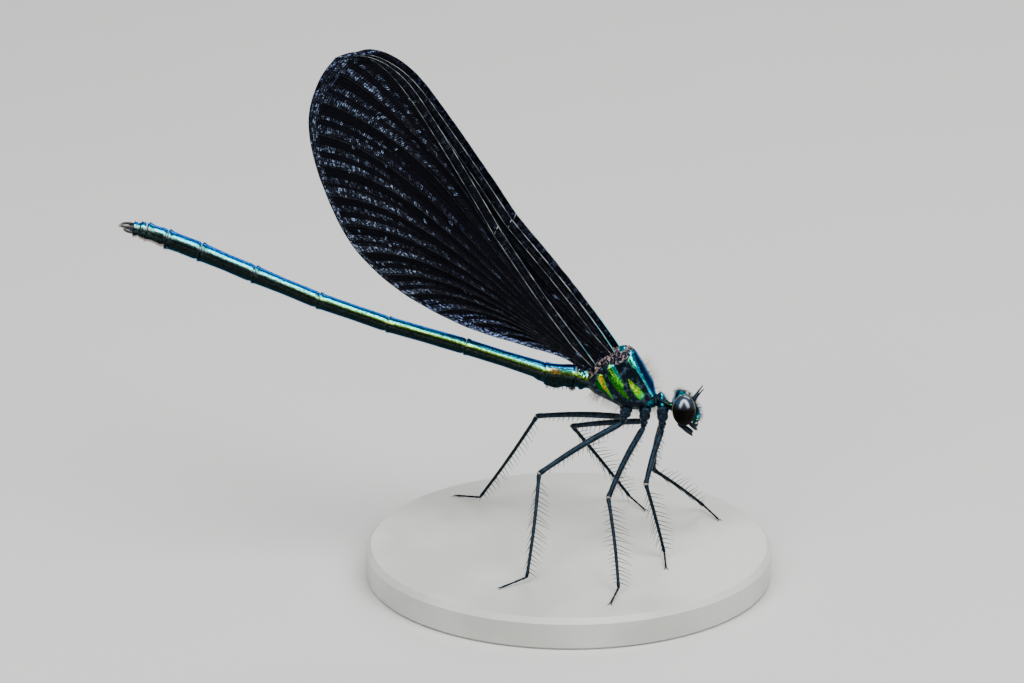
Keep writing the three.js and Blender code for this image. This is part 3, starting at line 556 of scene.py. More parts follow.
def thorax_relief(x, y, z, fold, mark):
    """Sutures are pressed in; metallic plates, the ridge along the back and the root folds stand out."""
    height = 0.0
    if x < THORAX_FRONT:
        for line in SUTURES:
            inside, _ = run_distance(x, z, [(a, b, 0.0) for a, b in line])
            height -= bump(SUTURE, inside)
    if BLUE_REAR < x < THORAX_FRONT and z > -0.5:
        height += bump(BACK_RIDGE, y)
    if fold > 0.02:
        height += (fold_ridge(x, y, z) - 0.5) * FOLD_HEIGHT * min(1.0, fold * 5)
        height -= bump(FOLD_GROOVE, fold - 0.07)
    if -2.6 < x < THORAX_FRONT:
        height += PLATE_HEIGHT * clamped(mark * 12)
    if x > HEAD_START:
        for groove_x, groove_z in FACE_GROOVES:
            height -= bump(FACE_GROOVE, z - groove_z) * clamped((x - groove_x + 0.4) / 0.3)
    return height


def close_up(bm, faces):
    """Fills a sheet's open ends, turns it outwards and shades it smooth; gives all its faces."""
    faces = list(faces)
    ends = {edge for face in faces for edge in face.edges if edge.is_boundary}
    faces += bmesh.ops.holes_fill(bm, edges=list(ends), sides=0)["faces"]
    bmesh.ops.recalc_face_normals(bm, faces=faces)
    for face in faces:
        face.smooth = True
    return faces


skin_rings = front_rings() + abdomen_rings()
last_ring = len(skin_rings) - 1
skin_bm = bmesh.new()
skin_uv = skin_bm.loops.layers.uv.new("OFBake")
mark_layer, fold_layer, rim_layer, ridge_layer = [
    skin_bm.verts.layers.float.new(name) for name in ("mark", "fold", "rim", "ridge")
]
tint_layer = skin_bm.verts.layers.float_color.new("tint")
bmesh.ops.create_grid(skin_bm, x_segments=last_ring, y_segments=SKIN_SIDES, size=0.5, calc_uvs=True)
for vert in skin_bm.verts:
    ring = skin_rings[round((vert.co.x + 0.5) * last_ring)]
    turn = (vert.co.y + 0.5) * 2 * math.pi
    point = ring_point(ring, turn)
    if "segment" in ring:
        mark, tint, fold, rim = abdomen_paint(ring, turn, point)
    else:
        mark, tint, fold, rim = thorax_paint(*point)
        vert[ridge_layer] = fold_ridge(*point)
        outward = (point - Vector((ring["x"], 0, ring["z"]))).normalized()
        point += outward * thorax_relief(*point, fold, mark)
        roll = HEAD_ROLL * clamped((point.x - HEAD_TURN_START) / HEAD_TURN_LENGTH)
        point = HEAD_PIVOT + Matrix.Rotation(roll, 3, "X") @ (point - HEAD_PIVOT)
    vert[mark_layer] = mark
    vert[fold_layer] = fold
    vert[rim_layer] = rim
    vert[tint_layer] = (*tint, 1.0)
    vert.co = point
bmesh.ops.remove_doubles(skin_bm, verts=skin_bm.verts, dist=0.0005)
close_up(skin_bm, skin_bm.faces)


def attribute(material, name, output="Fac"):
    return shader_node(material, "ShaderNodeAttribute", {"attribute_name": name}).outputs[output]


def calculate(material, operation, *values, clamp=False):
    settings = {"operation": operation, "use_clamp": clamp}
    return shader_node(material, "ShaderNodeMath", settings, dict(enumerate(values))).outputs[0]


skin_finish = new_finish("chitin", Specular_IOR_Level=0.16, Specular_Tint=(0.35, 0.65, 1.0, 1))
fine = grain(skin_finish, 11000.0, 3.0)
ragged = calculate(skin_finish, "MULTIPLY_ADD", fine, 0.12, attribute(skin_finish, "mark"))
plate = ease(skin_finish, ragged, 0.035, 0.085)
folded = ease(skin_finish, attribute(skin_finish, "fold"), 0.0, 0.05)
rimmed = ease(skin_finish, attribute(skin_finish, "rim"), 0.0, 0.012)
bloom = ease(skin_finish, grain(skin_finish, 2600.0, 4.0), 0.5, 0.66)
black = blend_colours(skin_finish, bloom, (0.001, 0.002, 0.0035, 1), (0.03, 0.05, 0.075, 1))
speckle = ease(skin_finish, grain(skin_finish, 7500.0, 3.0), 0.32, 0.68, 0.35, 1.25)
metal = blend_colours(skin_finish, 1.0, attribute(skin_finish, "tint", "Color"), speckle, "MULTIPLY")
colour = blend_colours(skin_finish, plate, black, metal)
# Painted shade and highlight on the root folds: near-black in the creases, brown on the slopes, pale on the
# crests
painted_fold_light = calculate(skin_finish, "MULTIPLY_ADD", fine, 0.5, attribute(skin_finish, "ridge"))
painted_crease_shade = ease(skin_finish, painted_fold_light, 0.6, 1.2)
shaded_fold_colour = blend_colours(skin_finish, painted_crease_shade, (0.002, 0.0018, 0.003, 1), (0.34, 0.23, 0.23, 1))
painted_crest_highlight = ease(skin_finish, painted_fold_light, 1.12, 1.4)
shaded_fold_colour = blend_colours(skin_finish, painted_crest_highlight, shaded_fold_colour, (0.85, 0.72, 0.74, 1))
colour = blend_colours(skin_finish, folded, colour, shaded_fold_colour)
colour = blend_colours(skin_finish, rimmed, colour, (0.34, 0.27, 0.25, 1))
soft = calculate(skin_finish, "MAXIMUM", folded, rimmed)
hard = calculate(skin_finish, "SUBTRACT", plate, soft, clamp=True)
rough = ease(skin_finish, hard, 0.0, 1.0, 0.36, 0.25)
wire(skin_finish, Base_Color=colour, Metallic=hard, Roughness=rough)
emboss(skin_finish, grain(skin_finish, 6500.0, 3.0), 0.00002, 0.85)


def make_piece(name, bm, finishes, to_model=BODY_PLACE):
    """Turns a mesh in body millimetres into an object in its place on the model."""
    bm.transform(to_model)
    mesh = bpy.data.meshes.new(name)
    bm.to_mesh(mesh)
    bm.free()
    for finish in finishes:
        mesh.materials.append(finish)
    piece = bpy.data.objects.new(name, mesh)
    bpy.context.collection.objects.link(piece)
    return piece


# Where hairs can grow: the middle of each face, the way outwards, and its spot in the skin's own map
hair_roots = [
    (face.calc_center_median(), face.normal.copy(), face.loops[0][skin_uv].uv.copy())
    for face in skin_bm.faces
]
skin = make_piece("body_skin", skin_bm, [skin_finish])
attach(skin, "root")
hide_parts("thorax", "prothorax", "head", *[f"abdomen_{n}" for n in range(1, 11)])

# Eyes
# A compound eye is a glossy dome of thousands of clear facets over dark brown tissue, set into the
# side of the head inside a thin olive and tan rim.
SIDES = (("right", -1), ("left", 1))
HEAD_TURN = Matrix.Rotation(HEAD_ROLL, 4, "X")
HEAD_PLACE = BODY_PLACE @ Matrix.Translation(HEAD_PIVOT) @ HEAD_TURN @ Matrix.Translation(-HEAD_PIVOT)
EYE_CENTRE = Vector((4.6, 1.5, -1.69))
EYE_RADII = Vector((0.9, 0.85, 1.19))
EYE_FLOOR = 1.05
RIM_STANDOFF = 0.12
RIM_THICKNESS = 0.03
RIM_STEPS = 60
# The eye's upper half, in metres above the ground, mirrors the panels and the sky; towards the top its
# colour turns to a painted bluish reflection of the sky
EYE_MIDDLE = 0.0134
GLOSS_FULL = 0.0141
PAINTED_REFLECTION_FULL = 0.0143


def height_above_ground(material):
    return shader_node(material, "ShaderNodeSeparateXYZ", inputs={0: place_on_piece(material)}).outputs["Z"]


def mirrored(place, sign):
    """A place on the animal's left side for sign 1, and the same on its right for sign -1."""
    x, y, z = place
    return Vector((x, sign * y, z))


eye_finish = new_finish("eye_glass", Roughness=0.22, Specular_Tint=(0.75, 0.88, 1.0, 1))
brown = ease(eye_finish, grain(eye_finish, 900.0), 0.4, 0.7)
eye_colour = blend_colours(eye_finish, brown, (0.0018, 0.0015, 0.0016, 1), (0.005, 0.0034, 0.0024, 1))
eye_height = height_above_ground(eye_finish)
# Painted reflection: the colour turns dark blue towards the top of the eye, as if mirroring the sky
painted_sky_reflection = ease(eye_finish, eye_height, EYE_MIDDLE, PAINTED_REFLECTION_FULL)
eye_colour = blend_colours(eye_finish, painted_sky_reflection, eye_colour, (0.010, 0.018, 0.042, 1))
upper_gloss = ease(eye_finish, eye_height, EYE_MIDDLE, GLOSS_FULL, 0.02, 2.4)
facing = shader_node(eye_finish, "ShaderNodeLayerWeight", inputs={"Blend": 0.5}).outputs["Facing"]
inner_gloss = ease(eye_finish, facing, 0.45, 0.8, 1.0, 0.05)
eye_gloss = calculate(eye_finish, "MULTIPLY", upper_gloss, inner_gloss)
wire(eye_finish, Base_Color=eye_colour, Specular_IOR_Level=eye_gloss)
facet_inputs = {"Vector": place_on_piece(eye_finish), "Scale": 28000.0}
facets = shader_node(eye_finish, "ShaderNodeTexVoronoi", inputs=facet_inputs)
emboss(eye_finish, facets.outputs["Distance"], 0.000004, 0.35)
rim_finish = blotched_finish("eye_rim", 3000.0, (0.03, 0.035, 0.015, 1), (0.34, 0.30, 0.16, 1), Roughness=0.4)


def tube(bm, points, radii, sides=10):
    """A closed tube through points: a sheet rolled round them, seam and ends closed."""
    last = len(points) - 1
    axes = []
    side = None
    for k in range(last + 1):
        ahead = (points[min(k + 1, last)] - points[max(k - 1, 0)]).normalized()
        side = ahead.orthogonal() if side is None else side - ahead * side.dot(ahead)
        side.normalize()
        axes.append((side, ahead.cross(side)))
    sheet = bmesh.ops.create_grid(bm, x_segments=last, y_segments=sides, size=0.5)["verts"]
    faces = {face for vert in sheet for face in vert.link_faces}
    for vert in sheet:
        k = round((vert.co.x + 0.5) * last)
        turn = (vert.co.y + 0.5) * 2 * math.pi
        vert.co = points[k] + (axes[k][0] * math.cos(turn) + axes[k][1] * math.sin(turn)) * radii[k]
    bmesh.ops.remove_doubles(bm, verts=sheet, dist=1e-5)
    return close_up(bm, faces)


for side_name, sign in SIDES:
    eye_place = Matrix.Translation(mirrored(EYE_CENTRE, sign)) @ Matrix.Diagonal((*EYE_RADII, 1))
    eye_place = eye_place @ Matrix.Rotation(math.pi / 2, 4, "X")
    eye_bm = bmesh.new()
    bmesh.ops.create_uvsphere(eye_bm, u_segments=80, v_segments=40, radius=1.0, matrix=eye_place)
    everything = eye_bm.verts[:] + eye_bm.edges[:] + eye_bm.faces[:]
    cut = {"plane_co": (0, sign * EYE_FLOOR, 0), "plane_no": (0, -sign, 0), "clear_outer": True}
    bmesh.ops.bisect_plane(eye_bm, geom=everything, **cut)
    for face in close_up(eye_bm, eye_bm.faces):
        face.smooth = len(face.verts) < 5
    eye = make_piece(f"compound_eye_{side_name}", eye_bm, [eye_finish], HEAD_PLACE)
    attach(eye, "root")
    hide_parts(f"eye_{side_name}")

    rim_points = []
    for k in range(RIM_STEPS + 1):
        turn = 2 * math.pi * k / RIM_STEPS
        across, up = EYE_RADII.x * math.cos(turn), EYE_RADII.z * math.sin(turn)
        place = (EYE_CENTRE.x + across, EYE_FLOOR + RIM_STANDOFF, EYE_CENTRE.z + up)
        rim_points.append(mirrored(place, sign))
    rim_bm = bmesh.new()
    tube(rim_bm, rim_points, [RIM_THICKNESS] * len(rim_points), 8)
    eye_rim = make_piece(f"eye_rim_{side_name}", rim_bm, [rim_finish], HEAD_PLACE)
    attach(eye_rim, "root")

# Simple eyes
# Three clear beads stand in a triangle on the crown between the compound eyes.
BEADS = (((5.2, 0, -0.76), 0.13), ((4.88, 0.3, -0.55), 0.12), ((4.88, -0.3, -0.55), 0.12))
bead_finish = blotched_finish(
    "bead_glass", 6000.0, (0.35, 0.28, 0.2, 1), (0.75, 0.7, 0.66, 1),
    Roughness=0.08, Coat_Weight=1.0, Coat_Roughness=0.02
)
beads_bm = bmesh.new()
for place, radius in BEADS:
    bmesh.ops.create_icosphere(beads_bm, subdivisions=3, radius=radius, matrix=Matrix.Translation(place))
for face in beads_bm.faces:
    face.smooth = True
beads = make_piece("simple_eyes", beads_bm, [bead_finish], HEAD_PLACE)
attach(beads, "root")

# Feelers
# Each antenna has a stout first joint, a slimmer second one and a fine bristle, all black and polished.
ANTENNA_ROOT = Vector((5.33, 0.5, -1.18))
ANTENNA_REACH = Vector((0.86, 0.42, 1.16))
ANTENNA_BOW = 0.06
ANTENNA_STEPS = (0, 0.05, 0.1, 0.2, 0.3, 0.36, 0.39, 0.42, 0.5, 0.6, 0.64, 0.73, 0.82, 0.91, 1)
ANTENNA_RADII = [(0, 0.12), (0.1, 0.13), (0.36, 0.115), (0.39, 0.07), (0.42, 0.09), (0.6, 0.08),
                 (0.64, 0.055), (0.91, 0.045), (1, 0.015)]

limb_finish = blotched_finish(
    "black_chitin", 1800.0, (0.003, 0.004, 0.006, 1), (0.012, 0.018, 0.03, 1), (0.35, 0.75), 3.0,
    Specular_IOR_Level=0.25, Specular_Tint=(0.4, 0.7, 1.0, 1)
)
wire(limb_finish, Roughness=ease(limb_finish, grain(limb_finish, 5000.0), 0.3, 0.7, 0.26, 0.42))
emboss(limb_finish, grain(limb_finish, 14000.0), 0.00001, 0.5)

for side_name, sign in SIDES:
    points = []
    for share in ANTENNA_STEPS:
        rise = Vector((0, 0, ANTENNA_BOW * math.sin(share * math.pi)))
        points.append(mirrored(ANTENNA_ROOT + ANTENNA_REACH * share + rise, sign))
    antenna_bm = bmesh.new()
    tube(antenna_bm, points, [between(ANTENNA_RADII, share) for share in ANTENNA_STEPS], 14)
    antenna = make_piece(f"feeler_{side_name}", antenna_bm, [limb_finish], HEAD_PLACE)
    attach(antenna, "root")
    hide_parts(f"antenna_{side_name}")

# Mouthparts
# Under the face hang the upper lip, two toothed jaws and the long lower lip with its side lobes,
# all black chitin, with small pale spots beside the lips.
MOUTH_SHIFT = (-0.06, 0, 0.19)
# Lips: centre, radii, tilt in degrees
LIPS = [((5.6, 0, -3.12), (0.26, 0.62, 0.3), 0), ((4.82, 0, -3.5), (0.72, 0.58, 0.2), 28)]
# Jaw, tooth and side lobe: number of sides, then places with their radii
MOUTH_LIMBS = [
    (12, (5.15, 0.55, -2.9, 0.24), (5.4, 0.62, -3.2, 0.2), (5.62, 0.42, -3.5, 0.13),
     (5.74, 0.12, -3.62, 0.02)),
    (8, (5.56, 0.5, -3.42, 0.08), (5.7, 0.34, -3.56, 0.06), (5.78, 0.22, -3.7, 0.012)),
    (10, (4.7, 0.42, -3.5, 0.12), (5.0, 0.48, -3.72, 0.14), (5.28, 0.4, -3.95, 0.1),
     (5.4, 0.26, -4.1, 0.02)),
]
MOUTH_SPOTS = [((5.62, 0.55, -3.0), 0.1), ((5.25, 0.95, -2.85), 0.09), ((5.5, 0.5, -2.86), 0.08)]

mouth_bm = bmesh.new()
for centre, radii, tilt in LIPS:
    turned = Matrix.Rotation(math.radians(tilt), 4, "Y") @ Matrix.Diagonal((*radii, 1))
    place = Matrix.Translation(centre) @ turned
    bmesh.ops.create_uvsphere(mouth_bm, u_segments=32, v_segments=16, radius=1.0, matrix=place)
for sign in (-1, 1):
    for sides, *rows in MOUTH_LIMBS:
        points = [mirrored((x, y, z), sign) for x, y, z, _ in rows]
        tube(mouth_bm, points, [radius for *_, radius in rows], sides)
    for place, radius in MOUTH_SPOTS:
        spot = Matrix.Translation(mirrored(place, sign)) @ Matrix.Diagonal((1.3, 1, 0.8, 1))
        spot_verts = bmesh.ops.create_icosphere(mouth_bm, subdivisions=3, radius=radius, matrix=spot)["verts"]
        for face in {face for vert in spot_verts for face in vert.link_faces}:
            face.material_index = 1
for face in mouth_bm.faces:
    face.smooth = True
bmesh.ops.translate(mouth_bm, vec=MOUTH_SHIFT, verts=mouth_bm.verts)
mouth = make_piece("mouthparts", mouth_bm, [limb_finish, bead_finish], HEAD_PLACE)
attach(mouth, "root")
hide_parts("labrum", "labium")

# Claspers
# The tail ends in two pairs of pincers: long hooked upper ones with a row of teeth on the outer side
# and short blunt lower ones, black with paler tips.
CLASPER_ASIDE = 0.33
CLASPER_STEPS = 11
CLASPER_SUNK = 0.12
TIP_INWARD = 0.45
# Length with the sunk root, height above the tail's middle, bow outwards, hook downwards, number of teeth
CLASPERS = {"cercus": (1.25, 0.224, 0.3, 0.16, 4), "paraproct": (0.85, -0.176, 0.2, -0.096, 0)}
CLASPER_RADII = [(0, 0.17), (0.4, 0.115), (0.8, 0.1), (0.95, 0.09), (1, 0.03)]
FIRST_TOOTH = 5
TOOTH_OUT = 0.13

clasper_finish = new_finish("clasper_chitin", Roughness=0.32)
tip_place = shader_node(clasper_finish, "ShaderNodeUVMap", {"uv_map": "Along"}).outputs[0]
tip_share = shader_node(clasper_finish, "ShaderNodeSeparateXYZ", inputs={0: tip_place}).outputs[0]
tip_tone = ease(clasper_finish, tip_share, 0.72, 1.0)
clasper_colour = blend_colours(clasper_finish, tip_tone, (0.008, 0.010, 0.014, 1), (0.42, 0.36, 0.30, 1))
wire(clasper_finish, Base_Color=clasper_colour)


def pointed(place, way):
    """Puts a shape in a place, with its length along a way."""
    return Matrix.Translation(place) @ way.to_track_quat("Z", "Y").to_matrix().to_4x4()


tail = Vector((ABDOMEN_START[0], 0, ABDOMEN_START[1]))
for length, rise, _ in SEGMENTS:
    lean = math.radians(rise)
    tail_way = Vector((-math.cos(lean), 0, math.sin(lean)))
    tail_up = Vector((math.sin(lean), 0, math.cos(lean)))
    tail += tail_way * length

for side_name, sign in SIDES:
    for part, (length, height, bow, hook, teeth) in CLASPERS.items():
        start = tail + Vector((0, sign * CLASPER_ASIDE, 0)) + tail_up * height - tail_way * CLASPER_SUNK
        shares = [k / CLASPER_STEPS for k in range(CLASPER_STEPS + 1)]
        points = []
        for share in shares:
            aside = Vector((0, sign * bow * (math.sin(share * math.pi) - TIP_INWARD * share ** 3), 0))
            points.append(start + tail_way * length * share + aside - tail_up * hook * share ** 3)
        clasper_bm = bmesh.new()
        along_uv = clasper_bm.loops.layers.uv.new("Along")
        tube(clasper_bm, points, [between(CLASPER_RADII, share) for share in shares], 12)
        for seat in points[FIRST_TOOTH:FIRST_TOOTH + teeth]:
            place = pointed(seat + Vector((0, sign * TOOTH_OUT, 0)), Vector((-0.5, sign, 0.1)))
            tooth = {"radius1": 0.05, "radius2": 0.01, "depth": 0.14}
            bmesh.ops.create_cone(clasper_bm, cap_ends=True, segments=6, matrix=place, **tooth)
        for face in clasper_bm.faces:
            for loop in face.loops:
                loop[along_uv].uv = ((loop.vert.co - start).dot(tail_way) / length, 0.5)
        clasper = make_piece(f"clasper_{part}_{side_name}", clasper_bm, [clasper_finish])
        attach(clasper, "root")
        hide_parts(f"{part}_{side_name}")

# Wings
# Four paper-thin black membranes folded together over the back, stiffened by long veins that fan out
# from the root and by a net of cross-veins. Their tiny cells carry painted glints in strips along the long
# veins.
WING_RISE = 55.4
# The outline in shares of length and width; the leading edge dips in a little at the nodus
NODUS = 0.42
LEADING_TO_NODUS = [(-0.04, 0.01), (0.07, 0.008), (0.23, 0.015), (NODUS, 0)]
LEADING_TO_TIP = [(NODUS, 0), (0.55, -0.035), (0.72, -0.07), (0.85, -0.078), (0.93, -0.015), (0.98, 0.1),
                  (1, 0.25)]
TRAILING_TO_ROOT = [(1, 0.25), (0.975, 0.47), (0.91, 0.71), (0.8, 0.88), (0.66, 0.985), (0.55, 0.99),
                    (NODUS, 0.89), (0.27, 0.66), (0.14, 0.36), (0.05, 0.16), (-0.04, 0.11)]
# Wing kinds: size, bow of the leading edge, distance from the body's middle at the root and further
# out, and depth of the root
WING_KINDS = {
    "fore": dict(length=31.13, width=9.27, bow=0.03, root_aside=0.62, rest_aside=0.38, root_depth=1.9),
    "hind": dict(length=31.33, width=10.17, bow=0.0, root_aside=0.78, rest_aside=1.25, root_depth=1.0),
}
# Node, kind, side, root as (forward, up), degrees swung down, and strength of the painted cyan gleam
WINGS = [
    ("forewing_right", "fore", -1, (-0.85, 2.95), 3.0, 0.35),
    ("forewing_left", "fore", 1, (-0.5, 3.2), 3.0, 1.0),
    ("hindwing_right", "hind", -1, (-2.3, 1.95), 0.0, 0.15),
    ("hindwing_left", "hind", 1, (-2.3, 1.95), 0.8, 0.15),
]
# Shares of the outline's length at which the tip and the rear corner of the root lie
TIP_SHARE = 0.452
REAR_SHARE = 0.985
ROOT_TOP = 0.32
ROOT_FADE = 1.6
# The slope at which the long veins meet the edge, in degrees, from the rear vein to the tip
EDGE_SLOPES = [(0.0, 80.0), (0.3, 76.0), (0.55, 60.0), (0.75, 50.0), (0.9, 40.0), (1.0, 12.0)]
BANDS = 15
PLEAT = 0.12
CELL_BORDER = 0.028
SMALLEST_CELL = CELL_BORDER * 2.6
CELL_SINK = 0.014
CELL_TILT = 0.02
MEMBRANE = 0.03
RADIUS_DEPTH = 0.62
LEADING_BULGE = 0.07
VEIN_RADIUS = 0.032
VEIN_SWELL = 0.006
EDGE_VEIN_RADIUS = 0.03
COSTA_CELLS = 170
FAN_COLUMNS = 36
FAN_ROWS = 72
# Where the net gets finer: across the veins (0) or along them (1), beyond this share of their length
FINER = [(0, 0.2), (1, 0.5), (0, 0.6)]
NET, VEIN, COSTA = 1, 2, 3
FAN_STEPS = 36
LEADING_STEPS = 60
REAR_STEPS = 80
NODUS_VEIN = NODUS / 0.93
# Distance from the root over which the painted cyan gleam fades, and seed of the first wing's painted glints
GLEAM_FADE = (0.5, 5.0)
FIRST_SEED = 40


def smooth_run(points, steps):
    """A soft curve through points."""
    out = []
    last = len(points) - 1
    for k in range(last):
        a, b, c, d = (points[max(0, min(last, k + n))] for n in (-1, 0, 1, 2))
        for s in range(steps):
            t = s / steps
            out.append(tuple(
                0.5 * (2 * b[i] + (c[i] - a[i]) * t + (2 * a[i] - 5 * b[i] + 4 * c[i] - d[i]) * t * t
                       + (3 * b[i] - a[i] - 3 * c[i] + d[i]) * t ** 3)
                for i in (0, 1)
            ))
    out.append(points[-1])
    return out


def measured_outline(kind):
    """The wing's edge from the root along the leading edge and back, with its length at each point."""
    bowed = [(u, v - kind["bow"] * math.sin(math.pi * u / NODUS)) for u, v in LEADING_TO_NODUS]
    points = []
    for run in (bowed, LEADING_TO_TIP, TRAILING_TO_ROOT):
        points += [Vector((u * kind["length"], v * kind["width"])) for u, v in smooth_run(run, 14)]
    lengths = [0.0]
    for a, b in zip(points, points[1:]):
        lengths.append(lengths[-1] + (b - a).length)
    return points, lengths


def outline_at(outline, share):
    """The place at a share of the outline's length."""
    points, lengths = outline
    wanted = share * lengths[-1]
    after = min(bisect.bisect_right(lengths, wanted), len(lengths) - 1)
    before = after - 1
    return points[before].lerp(points[after], (wanted - lengths[before]) / (lengths[after] - lengths[before]))


def fan_edge(outline, q):
    """The edge that the long veins run to, from the rear corner of the root (0) to the tip (1)."""
    return outline_at(outline, REAR_SHARE + (TIP_SHARE - REAR_SHARE) * q)


def smooth_step(value, low, high):
    share = clamped((value - low) / (high - low))
    return share * share * (3 - 2 * share)


def leading_points(outline, t):
    """A place on the leading edge, and one on the long vein that follows it a little behind."""
    share = TIP_SHARE * t
    lead = outline_at(outline, share)
    ahead = outline_at(outline, share + 0.004) - outline_at(outline, max(0.0, share - 0.004))
    inward = Vector((-ahead.y, ahead.x)).normalized()
    room = RADIUS_DEPTH * (0.35 + 0.65 * smooth_step(t, 0.0, 0.12)) * smooth_step(1 - t, -0.02, 0.16)
    return lead, lead + inward * room


def fan_point(kind, outline, q, t):
    """A place in the fan of long veins: q from the rear corner of the root to the tip, t along the vein."""
    start = Vector((0.0, kind["root_depth"])).lerp(Vector((0.0, ROOT_TOP)), q)
    end = fan_edge(outline, q)
    chord = end - start
    rise = math.atan2(chord.y, chord.x)
    leave = rise * (0.45 + 0.15 * q)
    arrive = max(math.radians(between(EDGE_SLOPES, q)), rise)
    first = start + Vector((math.cos(leave), math.sin(leave))) * chord.length * 0.5
    second = end - Vector((math.cos(arrive), math.sin(arrive))) * chord.length * 0.24
    s = 1 - t
    spot = start * s ** 3 + first * 3 * s * s * t + second * 3 * s * t * t + end * t ** 3
    near = smooth_step(q, 0.8, 1.0)
    if near > 0:
        along = leading_points(outline, t)[1]
        along += (end - outline_at(outline, TIP_SHARE)) * smooth_step(t, 0.5, 1.0)
        spot = spot.lerp(along, near)
    return spot


def pleat(q, t):
    """The membrane is folded a little, with a long vein along each fold."""
    phase = (q * BANDS) % 1.0
    fold_height = abs(phase * 2 - 1) * 2 - 1
    return PLEAT * fold_height * smooth_step(t, 0.12, 0.6) * (1 - smooth_step(t, 0.97, 1.0) * 0.6)


def strip(value, low, high):
    """1 inside a strip with soft edges, given as the two ends of each edge."""
    return smooth_step(value, *low) * (1 - smooth_step(value, *high))


def painted_glint_at(q, t, draw):
    """How bright a cell's painted glint is: in strips just ahead of each long vein, most towards the edge.

    Above 1 the whole cell carries the painted glint: every other one along the rear edge near the root.
    """
    edge_start = 0.9 - 0.25 * (1 - smooth_step(q, 0.02, 0.12))
    if t > edge_start and 0.05 < q < 0.21 and int(q * FAN_COLUMNS * 4) % 2:
        if draw.random() < 0.85:
            return 1.0 + draw.uniform(0.5, 1.0)
    phase = (q * BANDS) % 1.0
    ahead = strip(phase, (0.02, 0.08), (0.22, 0.3))
    second = strip(phase, (0.45, 0.5), (0.6, 0.66)) * smooth_step(t, 0.6, 0.8)
    rear = 1 - smooth_step(q, 0.22, 0.34)
    edge = smooth_step(t, 0.968, 0.985) * 0.35 + smooth_step(t, 0.9, 0.94) * rear * 0.9
    strength = (0.07 + 0.45 * smooth_step(t, 0.25, 0.95)) * max(ahead, second * 0.8) * (1 - 0.6 * rear) + edge
    stray = 0.8 if draw.random() > 0.994 else 0.0
    return min(1.0, max(stray, strength * (0.07 + 2.4 * draw.random() ** 6)))


def paint_glints(material, dull, bright, weakest):
    """Paints glints into the colour: brightens the cells that glint, in flecks about a tenth of a millimetre
    across.
    """
    fleck = ease(material, grain(material, 8500.0, 1.0), 0.46, 0.6, weakest, 2.0)
    glint = calculate(material, "MULTIPLY", attribute(material, "painted_glint"), fleck)
    wire(material, Base_Color=blend_colours(material, glint, dull, bright))


membrane_finish = new_finish("wing_membrane", Roughness=0.5, Specular_IOR_Level=0.03)
membrane_tone = blend_colours(
    membrane_finish, grain(membrane_finish, 700.0), (0.0012, 0.0009, 0.0018, 1), (0.0026, 0.0026, 0.006, 1)
)
paint_glints(membrane_finish, membrane_tone, (0.26, 0.36, 0.66, 1), 0.05)
emboss(membrane_finish, grain(membrane_finish, 9000.0), 0.000008, 0.5)

net_finish = new_finish("wing_net", Roughness=0.4, Specular_IOR_Level=0.06)
paint_glints(net_finish, (0.0018, 0.002, 0.004, 1), (0.52, 0.66, 0.95, 1), 0.1)

vein_finish = blotched_finish(
    "wing_vein", 2500.0, (0.002, 0.0025, 0.004, 1), (0.014, 0.016, 0.022, 1), (0.4, 0.65),
    Roughness=0.35, Specular_IOR_Level=0.08
)

# The costa's pale grey is partly a painted highlight along the leading edge; near the root it takes a painted
# cyan gleam
costa_finish = new_finish("wing_costa", Roughness=0.28, Specular_IOR_Level=0.5)
costa_tone = ease(costa_finish, grain(costa_finish, 1200.0), 0.35, 0.65)
costa_colour = blend_colours(costa_finish, costa_tone, (0.03, 0.045, 0.06, 1), (0.30, 0.34, 0.34, 1))
painted_root_gleam = attribute(costa_finish, "painted_glint")
wire(costa_finish, Base_Color=blend_colours(costa_finish, painted_root_gleam, costa_colour, (0.10, 0.75, 0.80, 1)))


def halve_cells(bm, way, beyond):
    """Halves the cells beyond a line across the fan: way 0 splits each into two along q, way 1 along t."""
    edges = [
        edge for edge in bm.edges
        if abs(edge.verts[0].co[way] - edge.verts[1].co[way]) > 1e-6
        and min(edge.verts[0].co.y, edge.verts[1].co.y) > beyond - 1e-6
    ]
    bmesh.ops.subdivide_edges(bm, edges=edges, cuts=1, use_grid_fill=True)


